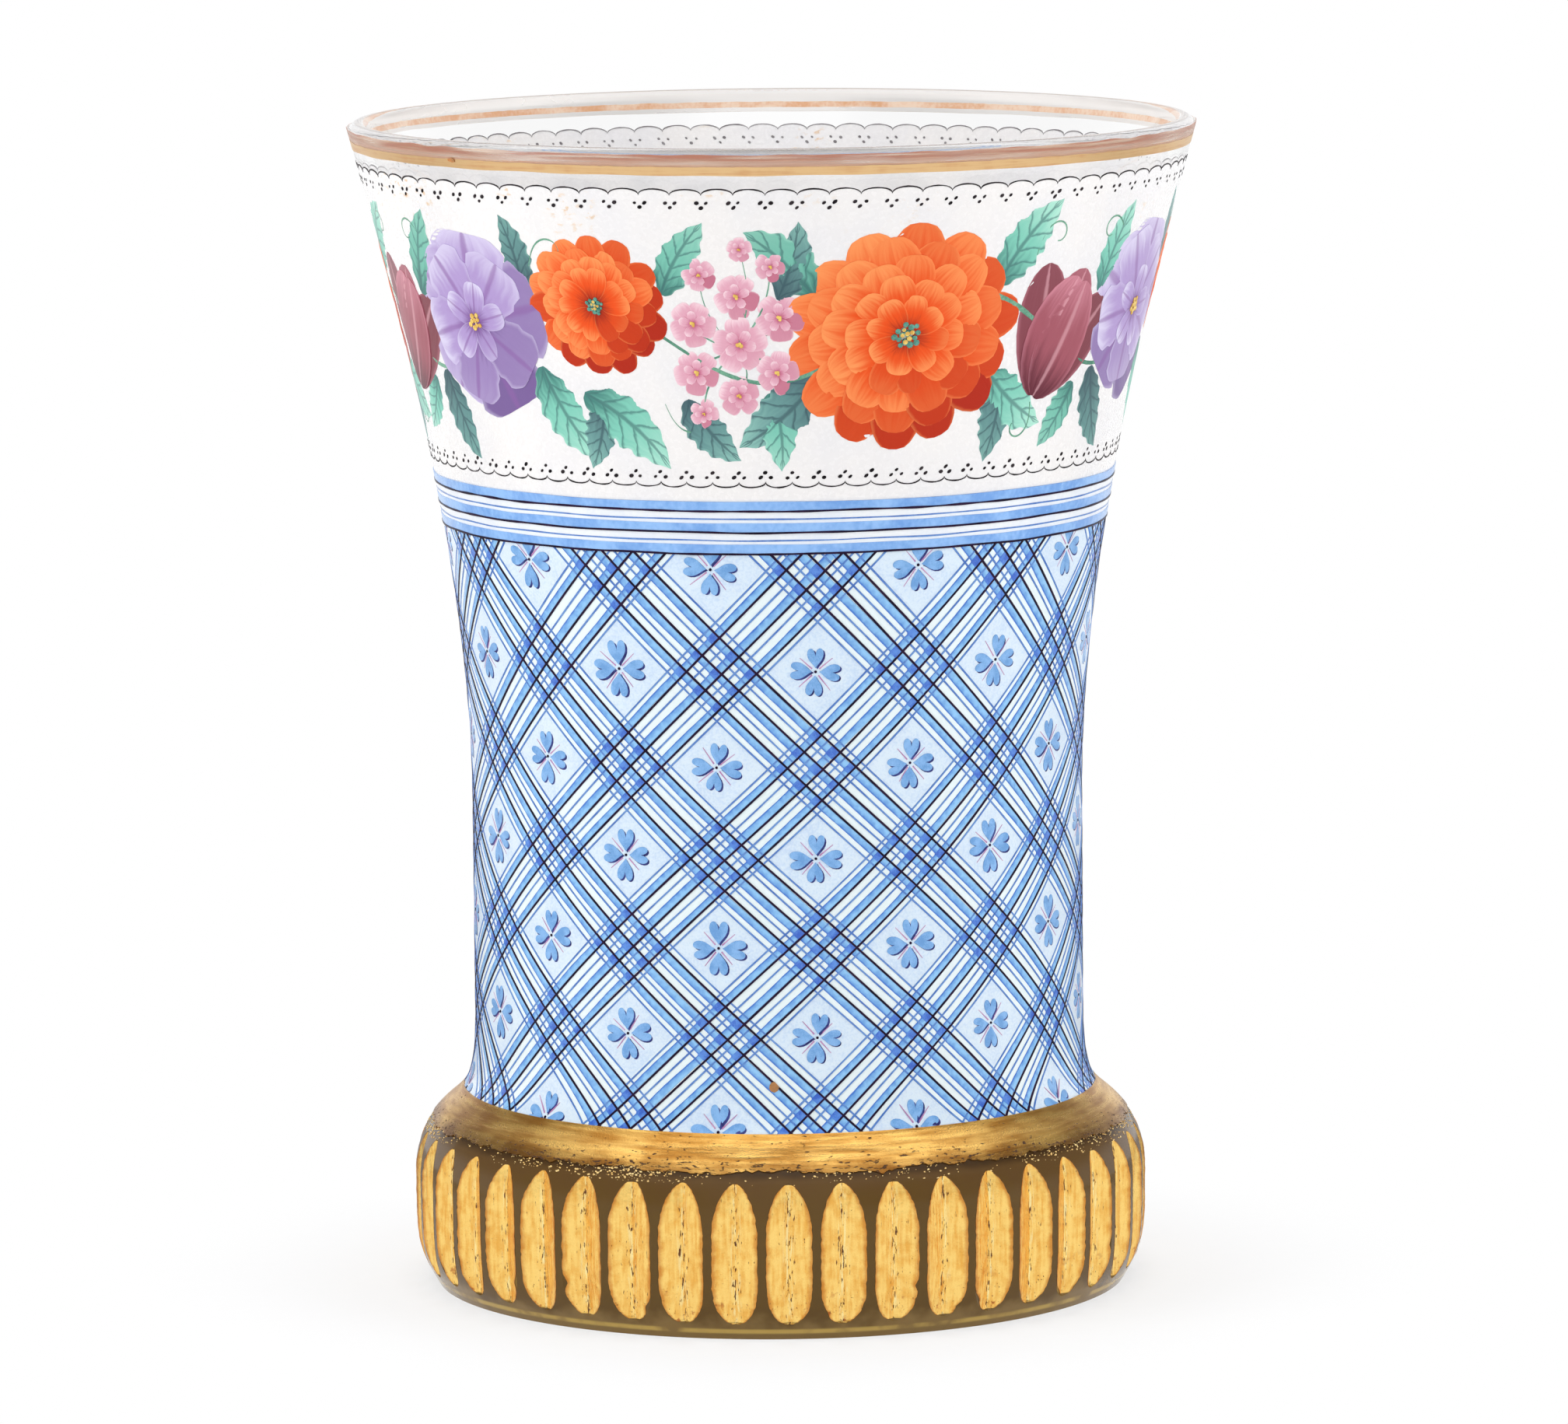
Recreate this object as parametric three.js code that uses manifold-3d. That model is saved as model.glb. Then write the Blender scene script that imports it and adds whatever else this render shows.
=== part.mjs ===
// A flared glass beaker with a heavy cut foot, fired enamel bands and gilding.
// Sizes are millimetres. The beaker stands on z = 0 with its axis on Z, and its seen side faces -Y.

import * as THREE from 'three';
import { mergeVertices } from 'three/addons/utils/BufferGeometryUtils.js';
import Module from 'manifold-3d';

// Outer form of the glass
const HEIGHT = 116;
const RIM_RADIUS = 42.1;
const WAIST_RADIUS = 30.3;
const FOOT_RADIUS = 36.5;

// Heights of the outline's knots. The slope lies out from the waist, and the base in from the bulge.
const FLARE_START = 48.8;
const COVE_TOP = 27.3;
const SLOPE_HEIGHT = 18.6;
const SLOPE_REACH = 2.1;
const BULGE_HEIGHT = 11;
const BASE_INSET = 2.1;

// How far the outline runs along its tangent at each knot before it bends
const FLARE_LEAVES_WAIST = 27.2;
const FLARE_MEETS_RIM = 8.8;
const RIM_SLOPE = 0.265;
const COVE_LEAVES_WAIST = 7;
const COVE_MEETS_SLOPE = 1.4;
const SHOULDER_LEAVES_SLOPE = 1;
const SHOULDER_MEETS_BULGE = 5;
const HEEL_LEAVES_BULGE = 7.3;
const HEEL_MEETS_BASE = 4.2;
const HEEL_ANGLE = THREE.MathUtils.degToRad(60);

// Inside of the glass
const LIP_WALL = 2;
const WAIST_WALL = 2.8;
const FLOOR_HEIGHT = 17;
const FLOOR_CORNER = 9;

// Star cut into the underside, inside the flat ring that it stands on
const RESTING_RING_WIDTH = 7.4;
const STAR_RAYS = 24;
const STAR_NOTCH_RADIUS = 8;
const STAR_DEPTH = 1.2;

// Mitre-cut flutes round the foot
const FLUTE_COUNT = 43;
const FLUTE_WIDTH = 4.5;
const FLUTE_DEPTH = 1.05;
const FIRST_FLUTE_ANGLE = THREE.MathUtils.degToRad(1.24);

// Painted and gilt bands, from the foot up
const COLLAR_LOW = 16.4;
const COLLAR_HEIGHT = 3.15;
const TRELLIS_HEIGHT = 56.85;
const STRIPE_COUNT = 3;
const STRIPE_HEIGHT = 0.95;
const WHITE_LINE_HEIGHT = 1.15;
const RIM_GILDING_DEPTH = 2.55;

// A coat stands in for a fired layer that is really thinner than a sheet of paper
const COAT_THICKNESS = 0.3;
const COAT_GAP = 0.3;

// Fineness of the faceted surfaces
const SEGMENTS = 48;
const FLARE_STEPS = 6;
const COVE_STEPS = 4;
const SHOULDER_STEPS = 4;
const HEEL_STEPS = 4;
const CORNER_STEPS = 4;
const LIP_STEPS = 4;
const FLUTE_STEPS = 6;
const CUT_MARGIN = 2;
const MERGE_DISTANCE = 1e-4;

const BASE_RADIUS = FOOT_RADIUS - BASE_INSET;
const SLOPE_RADIUS = WAIST_RADIUS + SLOPE_REACH;
const STAR_RADIUS = BASE_RADIUS - RESTING_RING_WIDTH;
const COAT_RECESS = COAT_THICKNESS + COAT_GAP;
const LIP_START = HEIGHT - LIP_WALL / 2;
const TRELLIS_LOW = COLLAR_LOW + COLLAR_HEIGHT;
const STRIPES_LOW = TRELLIS_LOW + TRELLIS_HEIGHT;
const STRIPE_PITCH = STRIPE_HEIGHT + WHITE_LINE_HEIGHT;
const FRIEZE_LOW = STRIPES_LOW + STRIPE_COUNT * STRIPE_PITCH - WHITE_LINE_HEIGHT;
const RIM_GILDING_LOW = HEIGHT - RIM_GILDING_DEPTH;

const wasm = await Module();
wasm.setup();

const materials = {
  glass: new THREE.MeshStandardMaterial({
    color: 0xb9b48f, roughness: 0.05, metalness: 0, transparent: true, opacity: 0.45,
  }),
  gilding: new THREE.MeshStandardMaterial({ color: 0xc99a3f, roughness: 0.35, metalness: 1 }),
  wornGilding: new THREE.MeshStandardMaterial({ color: 0xc08a5a, roughness: 0.4, metalness: 1 }),
  whiteEnamel: new THREE.MeshStandardMaterial({ color: 0xf1f0f2, roughness: 0.25, metalness: 0 }),
  blueEnamel: new THREE.MeshStandardMaterial({ color: 0x5d8bd6, roughness: 0.2, metalness: 0 }),
  paleBlueEnamel: new THREE.MeshStandardMaterial({ color: 0xb7cdec, roughness: 0.2, metalness: 0 }),
};

// Outline, as points of radius and height

function outlineCurves() {
  const slope = Math.SQRT1_2;
  const base = new THREE.Vector2(BASE_RADIUS, 0);
  const bulge = new THREE.Vector2(FOOT_RADIUS, BULGE_HEIGHT);
  const slopePoint = new THREE.Vector2(SLOPE_RADIUS, SLOPE_HEIGHT);
  const coveTop = new THREE.Vector2(WAIST_RADIUS, COVE_TOP);
  const flareFoot = new THREE.Vector2(WAIST_RADIUS, FLARE_START);
  const rim = new THREE.Vector2(RIM_RADIUS, HEIGHT);
  const moved = (point, radius, height) => new THREE.Vector2(point.x + radius, point.y + height);
  const heelRun = [HEEL_MEETS_BASE * Math.cos(HEEL_ANGLE), HEEL_MEETS_BASE * Math.sin(HEEL_ANGLE)];
  const heel = new THREE.CubicBezierCurve(
    base, moved(base, heelRun[0], heelRun[1]), moved(bulge, 0, -HEEL_LEAVES_BULGE), bulge,
  );
  const shoulder = new THREE.CubicBezierCurve(
    bulge,
    moved(bulge, 0, SHOULDER_MEETS_BULGE),
    moved(slopePoint, slope * SHOULDER_LEAVES_SLOPE, -slope * SHOULDER_LEAVES_SLOPE),
    slopePoint,
  );
  const cove = new THREE.CubicBezierCurve(
    slopePoint,
    moved(slopePoint, -slope * COVE_MEETS_SLOPE, slope * COVE_MEETS_SLOPE),
    moved(coveTop, 0, -COVE_LEAVES_WAIST),
    coveTop,
  );
  const flare = new THREE.CubicBezierCurve(
    flareFoot,
    moved(flareFoot, 0, FLARE_LEAVES_WAIST),
    moved(rim, -RIM_SLOPE * FLARE_MEETS_RIM, -FLARE_MEETS_RIM),
    rim,
  );
  return [[heel, HEEL_STEPS], [shoulder, SHOULDER_STEPS], [cove, COVE_STEPS], [flare, FLARE_STEPS]];
}

function sampledOutline() {
  const points = [];
  for (const [curve, steps] of outlineCurves()) {
    for (const point of curve.getPoints(steps)) {
      const last = points[points.length - 1];
      if (!last || point.y > last.y + MERGE_DISTANCE) points.push(point);
    }
  }
  return points;
}

const outline = sampledOutline();

function outerRadius(height) {
  const above = Math.max(1, outline.findIndex((point) => point.y >= height));
  const low = outline[above - 1];
  const high = outline[above];
  const share = (height - low.y) / (high.y - low.y);
  return THREE.MathUtils.lerp(low.x, high.x, share);
}

function outlinePoints(low, high, inset) {
  const inner = outline.filter((p) => p.y > low + MERGE_DISTANCE && p.y < high - MERGE_DISTANCE);
  const heights = [low, ...inner.map((point) => point.y), high];
  return heights.map((height) => new THREE.Vector2(outerRadius(height) - inset, height));
}

function crossingHeight(radius, inside, outside) {
  let [near, far] = [inside, outside];
  for (let step = 0; step < 40; step += 1) {
    const middle = (near + far) / 2;
    if (outerRadius(middle) > radius) near = middle;
    else far = middle;
  }
  return near;
}

// Solids

function turned(profile) {
  return new THREE.LatheGeometry(profile, SEGMENTS).rotateX(Math.PI / 2);
}

function solidFrom(geometry) {
  const bare = geometry.clone();
  bare.deleteAttribute('normal');
  bare.deleteAttribute('uv');
  const merged = mergeVertices(bare, MERGE_DISTANCE);
  const corners = merged.index.array;
  const kept = [];
  for (let i = 0; i < corners.length; i += 3) {
    const [a, b, c] = corners.slice(i, i + 3);
    if (a !== b && b !== c && c !== a) kept.push(a, b, c);
  }
  const mesh = new wasm.Mesh({
    numProp: 3,
    vertProperties: Float32Array.from(merged.attributes.position.array),
    triVerts: Uint32Array.from(kept),
  });
  return new wasm.Manifold(mesh);
}

function geometryFrom(solid) {
  const mesh = solid.getMesh();
  const geometry = new THREE.BufferGeometry();
  geometry.setAttribute('position', new THREE.BufferAttribute(mesh.vertProperties, 3));
  geometry.setIndex(new THREE.BufferAttribute(mesh.triVerts, 1));
  geometry.computeVertexNormals();
  return geometry;
}

// Glass body

function lipPoints() {
  const radius = LIP_WALL / 2;
  const middle = new THREE.Vector2(outerRadius(LIP_START) - radius, LIP_START);
  const points = [];
  for (let step = 0; step <= LIP_STEPS; step += 1) {
    const angle = (Math.PI * step) / LIP_STEPS;
    points.push(new THREE.Vector2(
      middle.x + radius * Math.cos(angle), middle.y + radius * Math.sin(angle),
    ));
  }
  return points;
}

function innerPoints() {
  const cornerTop = FLOOR_HEIGHT + FLOOR_CORNER;
  const wall = (height) => THREE.MathUtils.mapLinear(
    height, cornerTop, LIP_START, WAIST_WALL, LIP_WALL,
  );
  const side = outlinePoints(cornerTop, LIP_START, 0)
    .map((point) => new THREE.Vector2(point.x - wall(point.y), point.y))
    .reverse()
    .slice(1);
  const cornerRadius = side[side.length - 1].x - FLOOR_CORNER;
  const corner = [];
  for (let step = 1; step <= CORNER_STEPS; step += 1) {
    const angle = (Math.PI / 2) * (step / CORNER_STEPS);
    corner.push(new THREE.Vector2(
      cornerRadius + FLOOR_CORNER * Math.cos(angle), cornerTop - FLOOR_CORNER * Math.sin(angle),
    ));
  }
  return [...side, ...corner];
}

function blownGlass() {
  return turned([
    new THREE.Vector2(0, 0),
    ...outlinePoints(0, COLLAR_LOW, 0),
    ...outlinePoints(COLLAR_LOW, LIP_START, COAT_RECESS),
    ...lipPoints(),
    ...innerPoints(),
    new THREE.Vector2(0, FLOOR_HEIGHT),
  ]);
}

function starCutter() {
  const reach = (STAR_DEPTH + CUT_MARGIN) / STAR_DEPTH;
  const cone = new THREE.ConeGeometry(
    STAR_RADIUS * reach, STAR_DEPTH + CUT_MARGIN, STAR_RAYS * 2,
  );
  cone.rotateX(Math.PI / 2);
  cone.translate(0, 0, (STAR_DEPTH - CUT_MARGIN) / 2);
  const position = cone.attributes.position;
  for (let i = 0; i < position.count; i += 1) {
    const angle = Math.atan2(position.getY(i), position.getX(i));
    const corner = Math.round(angle / (Math.PI / STAR_RAYS));
    if (position.getZ(i) < 0 && Math.abs(corner) % 2 === 1) {
      const pull = STAR_NOTCH_RADIUS / STAR_RADIUS;
      position.setXY(i, position.getX(i) * pull, position.getY(i) * pull);
    }
  }
  return cone;
}

// Flutes, worked out for one whose middle lies on +X and then turned round the foot

const valleyRadius = FOOT_RADIUS - FLUTE_DEPTH;
const mitreSpread = FLUTE_WIDTH / 2 / FLUTE_DEPTH;

function fluteColumn(inset) {
  const edgeRadius = valleyRadius + inset / mitreSpread;
  const low = crossingHeight(edgeRadius, BULGE_HEIGHT, 0);
  const high = crossingHeight(edgeRadius, BULGE_HEIGHT, COLLAR_LOW);
  const side = [];
  for (let step = 1; step < FLUTE_STEPS; step += 1) {
    const share = (1 - Math.cos((Math.PI * step) / FLUTE_STEPS)) / 2;
    const height = THREE.MathUtils.lerp(low, high, share);
    const halfWidth = (outerRadius(height) - valleyRadius) * mitreSpread - inset;
    side.push(new THREE.Vector2(halfWidth, height));
  }
  const shape = new THREE.Shape([
    new THREE.Vector2(0, low),
    ...side,
    new THREE.Vector2(0, high),
    ...side.reverse().map((point) => new THREE.Vector2(-point.x, point.y)),
  ]);
  const depth = FLUTE_DEPTH + 2 * CUT_MARGIN;
  const column = new THREE.ExtrudeGeometry(shape, { depth, bevelEnabled: false });
  const outward = new THREE.Matrix4().makeBasis(
    new THREE.Vector3(0, 1, 0), new THREE.Vector3(0, 0, 1), new THREE.Vector3(1, 0, 0),
  );
  column.applyMatrix4(outward);
  column.translate(valleyRadius - CUT_MARGIN, 0, 0);
  return column;
}

function mitreWedge(tipRadius) {
  const reach = FLUTE_DEPTH + 2 * CUT_MARGIN;
  const shape = new THREE.Shape([
    new THREE.Vector2(tipRadius, 0),
    new THREE.Vector2(tipRadius + reach, reach * mitreSpread),
    new THREE.Vector2(tipRadius + reach, -reach * mitreSpread),
  ]);
  const wedge = new THREE.ExtrudeGeometry(shape, { depth: TRELLIS_LOW, bevelEnabled: false });
  return wedge;
}

function flutePocket() {
  const pocket = solidFrom(fluteColumn(0)).intersect(
    solidFrom(mitreWedge(valleyRadius - COAT_RECESS)),
  );
  return geometryFrom(pocket);
}

function flutePatch() {
  const patch = solidFrom(fluteColumn(COAT_GAP))
    .intersect(solidFrom(mitreWedge(valleyRadius - COAT_THICKNESS)))
    .subtract(solidFrom(mitreWedge(valleyRadius)));
  return geometryFrom(patch);
}

function fluteAngle(index) {
  return FIRST_FLUTE_ANGLE - Math.PI / 2 + (2 * Math.PI * index) / FLUTE_COUNT;
}

function cutGlass() {
  let glass = solidFrom(blownGlass()).subtract(solidFrom(starCutter()));
  const pocket = flutePocket();
  for (let index = 0; index < FLUTE_COUNT; index += 1) {
    glass = glass.subtract(solidFrom(pocket.clone().rotateZ(fluteAngle(index))));
  }
  return geometryFrom(glass);
}

// Coats

function coatRing(low, high) {
  const [foot, top] = [low + COAT_GAP / 2, high - COAT_GAP / 2];
  const outside = outlinePoints(foot, top, 0);
  const inside = outlinePoints(foot, top, COAT_THICKNESS).reverse();
  return turned([...outside, ...inside, outside[0].clone()]);
}

function numbered(name, index) {
  return `${name}_${String(index + 1).padStart(2, '0')}`;
}

// Assembly

const beaker = new THREE.Group();

function add(name, geometry, material) {
  const mesh = new THREE.Mesh(geometry, material);
  mesh.name = name;
  beaker.add(mesh);
  return mesh;
}

add('glass_beaker', cutGlass(), materials.glass);
add('foot_collar_gilding', coatRing(COLLAR_LOW, TRELLIS_LOW), materials.gilding);
add('trellis_enamel', coatRing(TRELLIS_LOW, STRIPES_LOW), materials.paleBlueEnamel);
for (let index = 0; index < STRIPE_COUNT; index += 1) {
  const low = STRIPES_LOW + index * STRIPE_PITCH;
  const high = low + STRIPE_HEIGHT;
  add(numbered('blue_stripe', index), coatRing(low, high), materials.blueEnamel);
  if (index < STRIPE_COUNT - 1) {
    const line = coatRing(high, high + WHITE_LINE_HEIGHT);
    add(numbered('white_line', index), line, materials.whiteEnamel);
  }
}
add('frieze_enamel', coatRing(FRIEZE_LOW, RIM_GILDING_LOW), materials.whiteEnamel);
add('rim_gilding', coatRing(RIM_GILDING_LOW, LIP_START), materials.wornGilding);

const patch = flutePatch();
for (let index = 0; index < FLUTE_COUNT; index += 1) {
  const gilding = add(numbered('flute_gilding', index), patch, materials.gilding);
  gilding.rotation.z = fluteAngle(index);
}

export default beaker;
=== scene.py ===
"""A flared glass beaker on a heavy cut foot, with its enamel painting, its gilding and a studio.

Shapes are worked out in millimetres and go to the meshes in metres. An angle is in degrees round
the beaker's axis, counted from the side that faces the viewer and growing to the viewer's right.
"""

import logging
import math
from collections.abc import Callable, Iterator, Sequence
from dataclasses import dataclass, field, replace
from enum import Enum
from functools import cached_property, reduce
from itertools import product
from typing import TypeAlias

import bmesh
import bpy
import numpy as np
from mathutils import Matrix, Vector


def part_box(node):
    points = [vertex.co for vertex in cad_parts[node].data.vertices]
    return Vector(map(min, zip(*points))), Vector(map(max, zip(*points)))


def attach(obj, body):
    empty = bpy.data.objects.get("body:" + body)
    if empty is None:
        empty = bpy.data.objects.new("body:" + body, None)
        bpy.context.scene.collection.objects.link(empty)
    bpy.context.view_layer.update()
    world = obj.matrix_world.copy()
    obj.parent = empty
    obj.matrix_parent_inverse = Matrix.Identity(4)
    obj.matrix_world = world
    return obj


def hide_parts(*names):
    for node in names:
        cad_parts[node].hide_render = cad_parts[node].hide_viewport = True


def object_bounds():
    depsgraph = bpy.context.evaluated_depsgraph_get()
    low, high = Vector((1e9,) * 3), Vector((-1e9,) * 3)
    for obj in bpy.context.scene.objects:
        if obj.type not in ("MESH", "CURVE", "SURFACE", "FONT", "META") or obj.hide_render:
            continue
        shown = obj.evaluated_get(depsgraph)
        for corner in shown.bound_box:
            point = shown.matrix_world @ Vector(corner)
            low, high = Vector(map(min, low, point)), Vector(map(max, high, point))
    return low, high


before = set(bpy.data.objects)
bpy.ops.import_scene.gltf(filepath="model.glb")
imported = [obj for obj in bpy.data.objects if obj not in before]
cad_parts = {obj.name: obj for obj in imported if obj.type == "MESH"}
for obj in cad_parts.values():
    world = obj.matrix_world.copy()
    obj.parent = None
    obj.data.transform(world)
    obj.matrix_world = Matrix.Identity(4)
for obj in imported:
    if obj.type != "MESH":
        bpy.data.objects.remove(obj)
CAD_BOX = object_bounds()

MM = 0.001
BODY = "root"
# Degrees between two faces from which the edge between them is sharp
CREASE = 24.0
# How far a coat reaches past its CAD node at both ends, in millimetres
COAT_END = 0.15
log = logging.getLogger("beaker")

Array = np.ndarray
Numbers = np.ndarray | float
Object = bpy.types.Object
Pair = tuple[float, float]
Triple = tuple[float, float, float]
Linear = tuple[float, float, float, float]
Colour = str | Linear
Term: TypeAlias = "Tone | float"


def shade(code: str) -> Linear:
    """Turns a colour as seen on a screen into the renderer's linear values.

    Args:
        code: Red, green and blue, such as "#ffd67a".

    Returns:
        The four channels of the linear colour.
    """
    parts = [value / 255.0 for value in bytes.fromhex(code[1:])]
    red, green, blue = (
        part / 12.92 if part <= 0.04045 else ((part + 0.055) / 1.055) ** 2.4 for part in parts
    )
    return red, green, blue, 1.0


def grey(value: float) -> Linear:
    """A grey of that linear value."""
    return value, value, value, 1.0


# Shader arithmetic


class Tone:
    """An output socket that Python's operators work on, each adding a Math node."""

    def __init__(self, bench: "Bench", socket: bpy.types.NodeSocket) -> None:
        """Wraps a socket of the bench's node tree."""
        self.bench = bench
        self.socket = socket

    def _maths(self, operation: str, first: Term, second: Term = 0.0) -> "Tone":
        """Adds one Math node of that operation."""
        return self.bench.node("ShaderNodeMath", {"operation": operation}, {0: first, 1: second})

    def __add__(self, other: Term) -> "Tone":
        """This value plus another."""
        return self._maths("ADD", self, other)

    def __radd__(self, other: Term) -> "Tone":
        """Another value plus this one."""
        return self._maths("ADD", other, self)

    def __sub__(self, other: Term) -> "Tone":
        """This value less another."""
        return self._maths("SUBTRACT", self, other)

    def __rsub__(self, other: Term) -> "Tone":
        """Another value less this one."""
        return self._maths("SUBTRACT", other, self)

    def __mul__(self, other: Term) -> "Tone":
        """This value times another."""
        return self._maths("MULTIPLY", self, other)

    def __rmul__(self, other: Term) -> "Tone":
        """Another value times this one."""
        return self._maths("MULTIPLY", other, self)

    def __abs__(self) -> "Tone":
        """This value without its sign."""
        return self._maths("ABSOLUTE", self)

    def most(self, other: Term) -> "Tone":
        """The larger of two values."""
        return self._maths("MAXIMUM", self, other)

    def part(self) -> "Tone":
        """What is left of this value after its whole number."""
        return self._maths("FRACT", self)

    def rise(self, low: float, high: float) -> "Tone":
        """Goes smoothly from 0 at low to 1 at high.

        Args:
            low: The value where the result is 0.
            high: The value where the result is 1, which may be the smaller one.

        Returns:
            The eased share.
        """
        settings = {"interpolation_type": "SMOOTHSTEP", "clamp": True}
        if low < high:
            return self.bench.node("ShaderNodeMapRange", settings, {0: self, 1: low, 2: high})
        return 1.0 - self.bench.node("ShaderNodeMapRange", settings, {0: self, 1: high, 2: low})


Socket = Tone | float | Colour | Triple


class Bench:
    """One node tree, and the few ways that this beaker's finishes add to it."""

    def __init__(self, tree: bpy.types.NodeTree) -> None:
        """Clears the tree for new nodes."""
        self.tree = tree
        tree.nodes.clear()

    def node(
        self, kind: str, settings: dict[str, str | bool] | None = None,
        sockets: dict[int | str, Socket] | None = None, output: int | str = 0,
    ) -> Tone:
        """Adds one node.

        Args:
            kind: The node's type.
            settings: Its properties, set before its sockets.
            sockets: A number, a colour or a Tone for each input, by its name or place.
            output: The output to go on with.

        Returns:
            That output.
        """
        made = self.tree.nodes.new(kind)
        for name, value in (settings or {}).items():
            setattr(made, name, value)
        for key, value in (sockets or {}).items():
            if isinstance(value, Tone):
                self.tree.links.new(value.socket, made.inputs[key])
            else:
                plain = shade(value) if isinstance(value, str) else value
                made.inputs[key].default_value = plain
        return Tone(self, made.outputs[output] if len(made.outputs) else None)

    def blend(
        self, share: Term, first: Tone | Colour, second: Tone | Colour, how: str = "MIX"
    ) -> Tone:
        """Mixes two colours, with the first one alone at a share of 0."""
        settings = {"data_type": "RGBA", "blend_type": how}
        return self.node("ShaderNodeMix", settings, {0: share, 6: first, 7: second}, 2)

    def vector_maths(
        self, operation: str, sockets: dict[int | str, Socket], output: int | str = 0
    ) -> Tone:
        """Adds one Vector Math node of that operation."""
        return self.node("ShaderNodeVectorMath", {"operation": operation}, sockets, output)

    def millimetres(self) -> Tone:
        """The point on the beaker, in millimetres of its own frame."""
        metres = self.node("ShaderNodeTexCoord", output="Object")
        return self.vector_maths("SCALE", {0: metres, "Scale": 1.0 / MM})

    def axis(self, vector: Tone, place: int) -> Tone:
        """One of a vector's three numbers."""
        return self.node("ShaderNodeSeparateXYZ", None, {0: vector}, place)

    def height(self) -> Tone:
        """The height over the table, in millimetres."""
        return self.axis(self.millimetres(), 2)

    def laid_out(self, name: str = "Place") -> tuple[Tone, Tone]:
        """The two numbers of a piece's named UV map."""
        place = self.node("ShaderNodeUVMap", {"uv_map": name})
        return self.axis(place, 0), self.axis(place, 1)

    def vector(self, x: Term, y: Term, z: Term) -> Tone:
        """Three values as one vector."""
        return self.node("ShaderNodeCombineXYZ", None, {0: x, 1: y, 2: z})

    def noise(self, scale: float, detail: float = 2.0, where: Tone | None = None) -> Tone:
        """Clouds from 0 to 1, so many to a millimetre, or to a unit of where."""
        sockets = {"Vector": where or self.millimetres(), "Scale": scale, "Detail": detail}
        return self.node("ShaderNodeTexNoise", None, sockets)

    def stretched(self, along: float, up: float, scale: float, detail: float = 2.0) -> Tone:
        """Noise with one rate of change round the beaker and another one up it."""
        where = self.vector_maths("MULTIPLY", {0: self.millimetres(), 1: (along, along, up)})
        return self.noise(scale, detail, where)

    def relief(self, height: Tone, depth: float) -> Tone:
        """A normal that shows a relief of that depth, in millimetres."""
        sockets = {"Strength": 1.0, "Distance": depth * MM, "Height": height}
        return self.node("ShaderNodeBump", None, sockets)

    def principled(self, **sockets: Socket) -> Tone:
        """The main shader, with its sockets by name, spaces written as underscores."""
        named = {name.replace("_", " "): value for name, value in sockets.items()}
        return self.node("ShaderNodeBsdfPrincipled", None, named)

    def light(self, kind: str, strength: Term, colour: Colour = grey(1.0)) -> Tone:
        """A glow of that strength, from an Emission or a Background node."""
        return self.node(f"ShaderNode{kind}", None, {0: colour, 1: strength})

    def mixed(self, share: Term, first: Tone, second: Tone) -> Tone:
        """Mixes two shaders, with the first one alone at a share of 0."""
        return self.node("ShaderNodeMixShader", None, {0: share, 1: first, 2: second})

    def ray(self, *kinds: str) -> Tone:
        """1 for rays of any of these kinds, such as Camera or Glossy."""
        seen = [self.node("ShaderNodeLightPath", output=f"Is {kind} Ray") for kind in kinds]
        return reduce(Tone.most, seen)

    def close(self, shader: Tone, kind: str = "ShaderNodeOutputMaterial") -> None:
        """Links the shader to the tree's output."""
        self.node(kind, None, {0: shader})


class Finish:
    """A finish of the beaker, which makes its material once."""

    name: str

    def dress(self, bench: Bench) -> Tone:
        """Builds the finish's nodes and returns its shader."""
        raise NotImplementedError

    def material(self) -> bpy.types.Material:
        """The finish's material, made the first time that it is asked for.

        Returns:
            The material.
        """
        found = bpy.data.materials.get(self.name)
        if found is None:
            found = bpy.data.materials.new(self.name)
            found.use_nodes = True
            bench = Bench(found.node_tree)
            bench.close(self.dress(bench))
        return found


# Finishes

# The clear coat of fired enamel, and how deep light goes into a pale one
GLAZE = {"Coat_Weight": 0.25, "Coat_Roughness": 0.08}
GLOW = {
    "Subsurface_Weight": 1.0, "Subsurface_Radius": (1.0, 1.0, 1.0), "Subsurface_Scale": 0.06 * MM,
}


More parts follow.
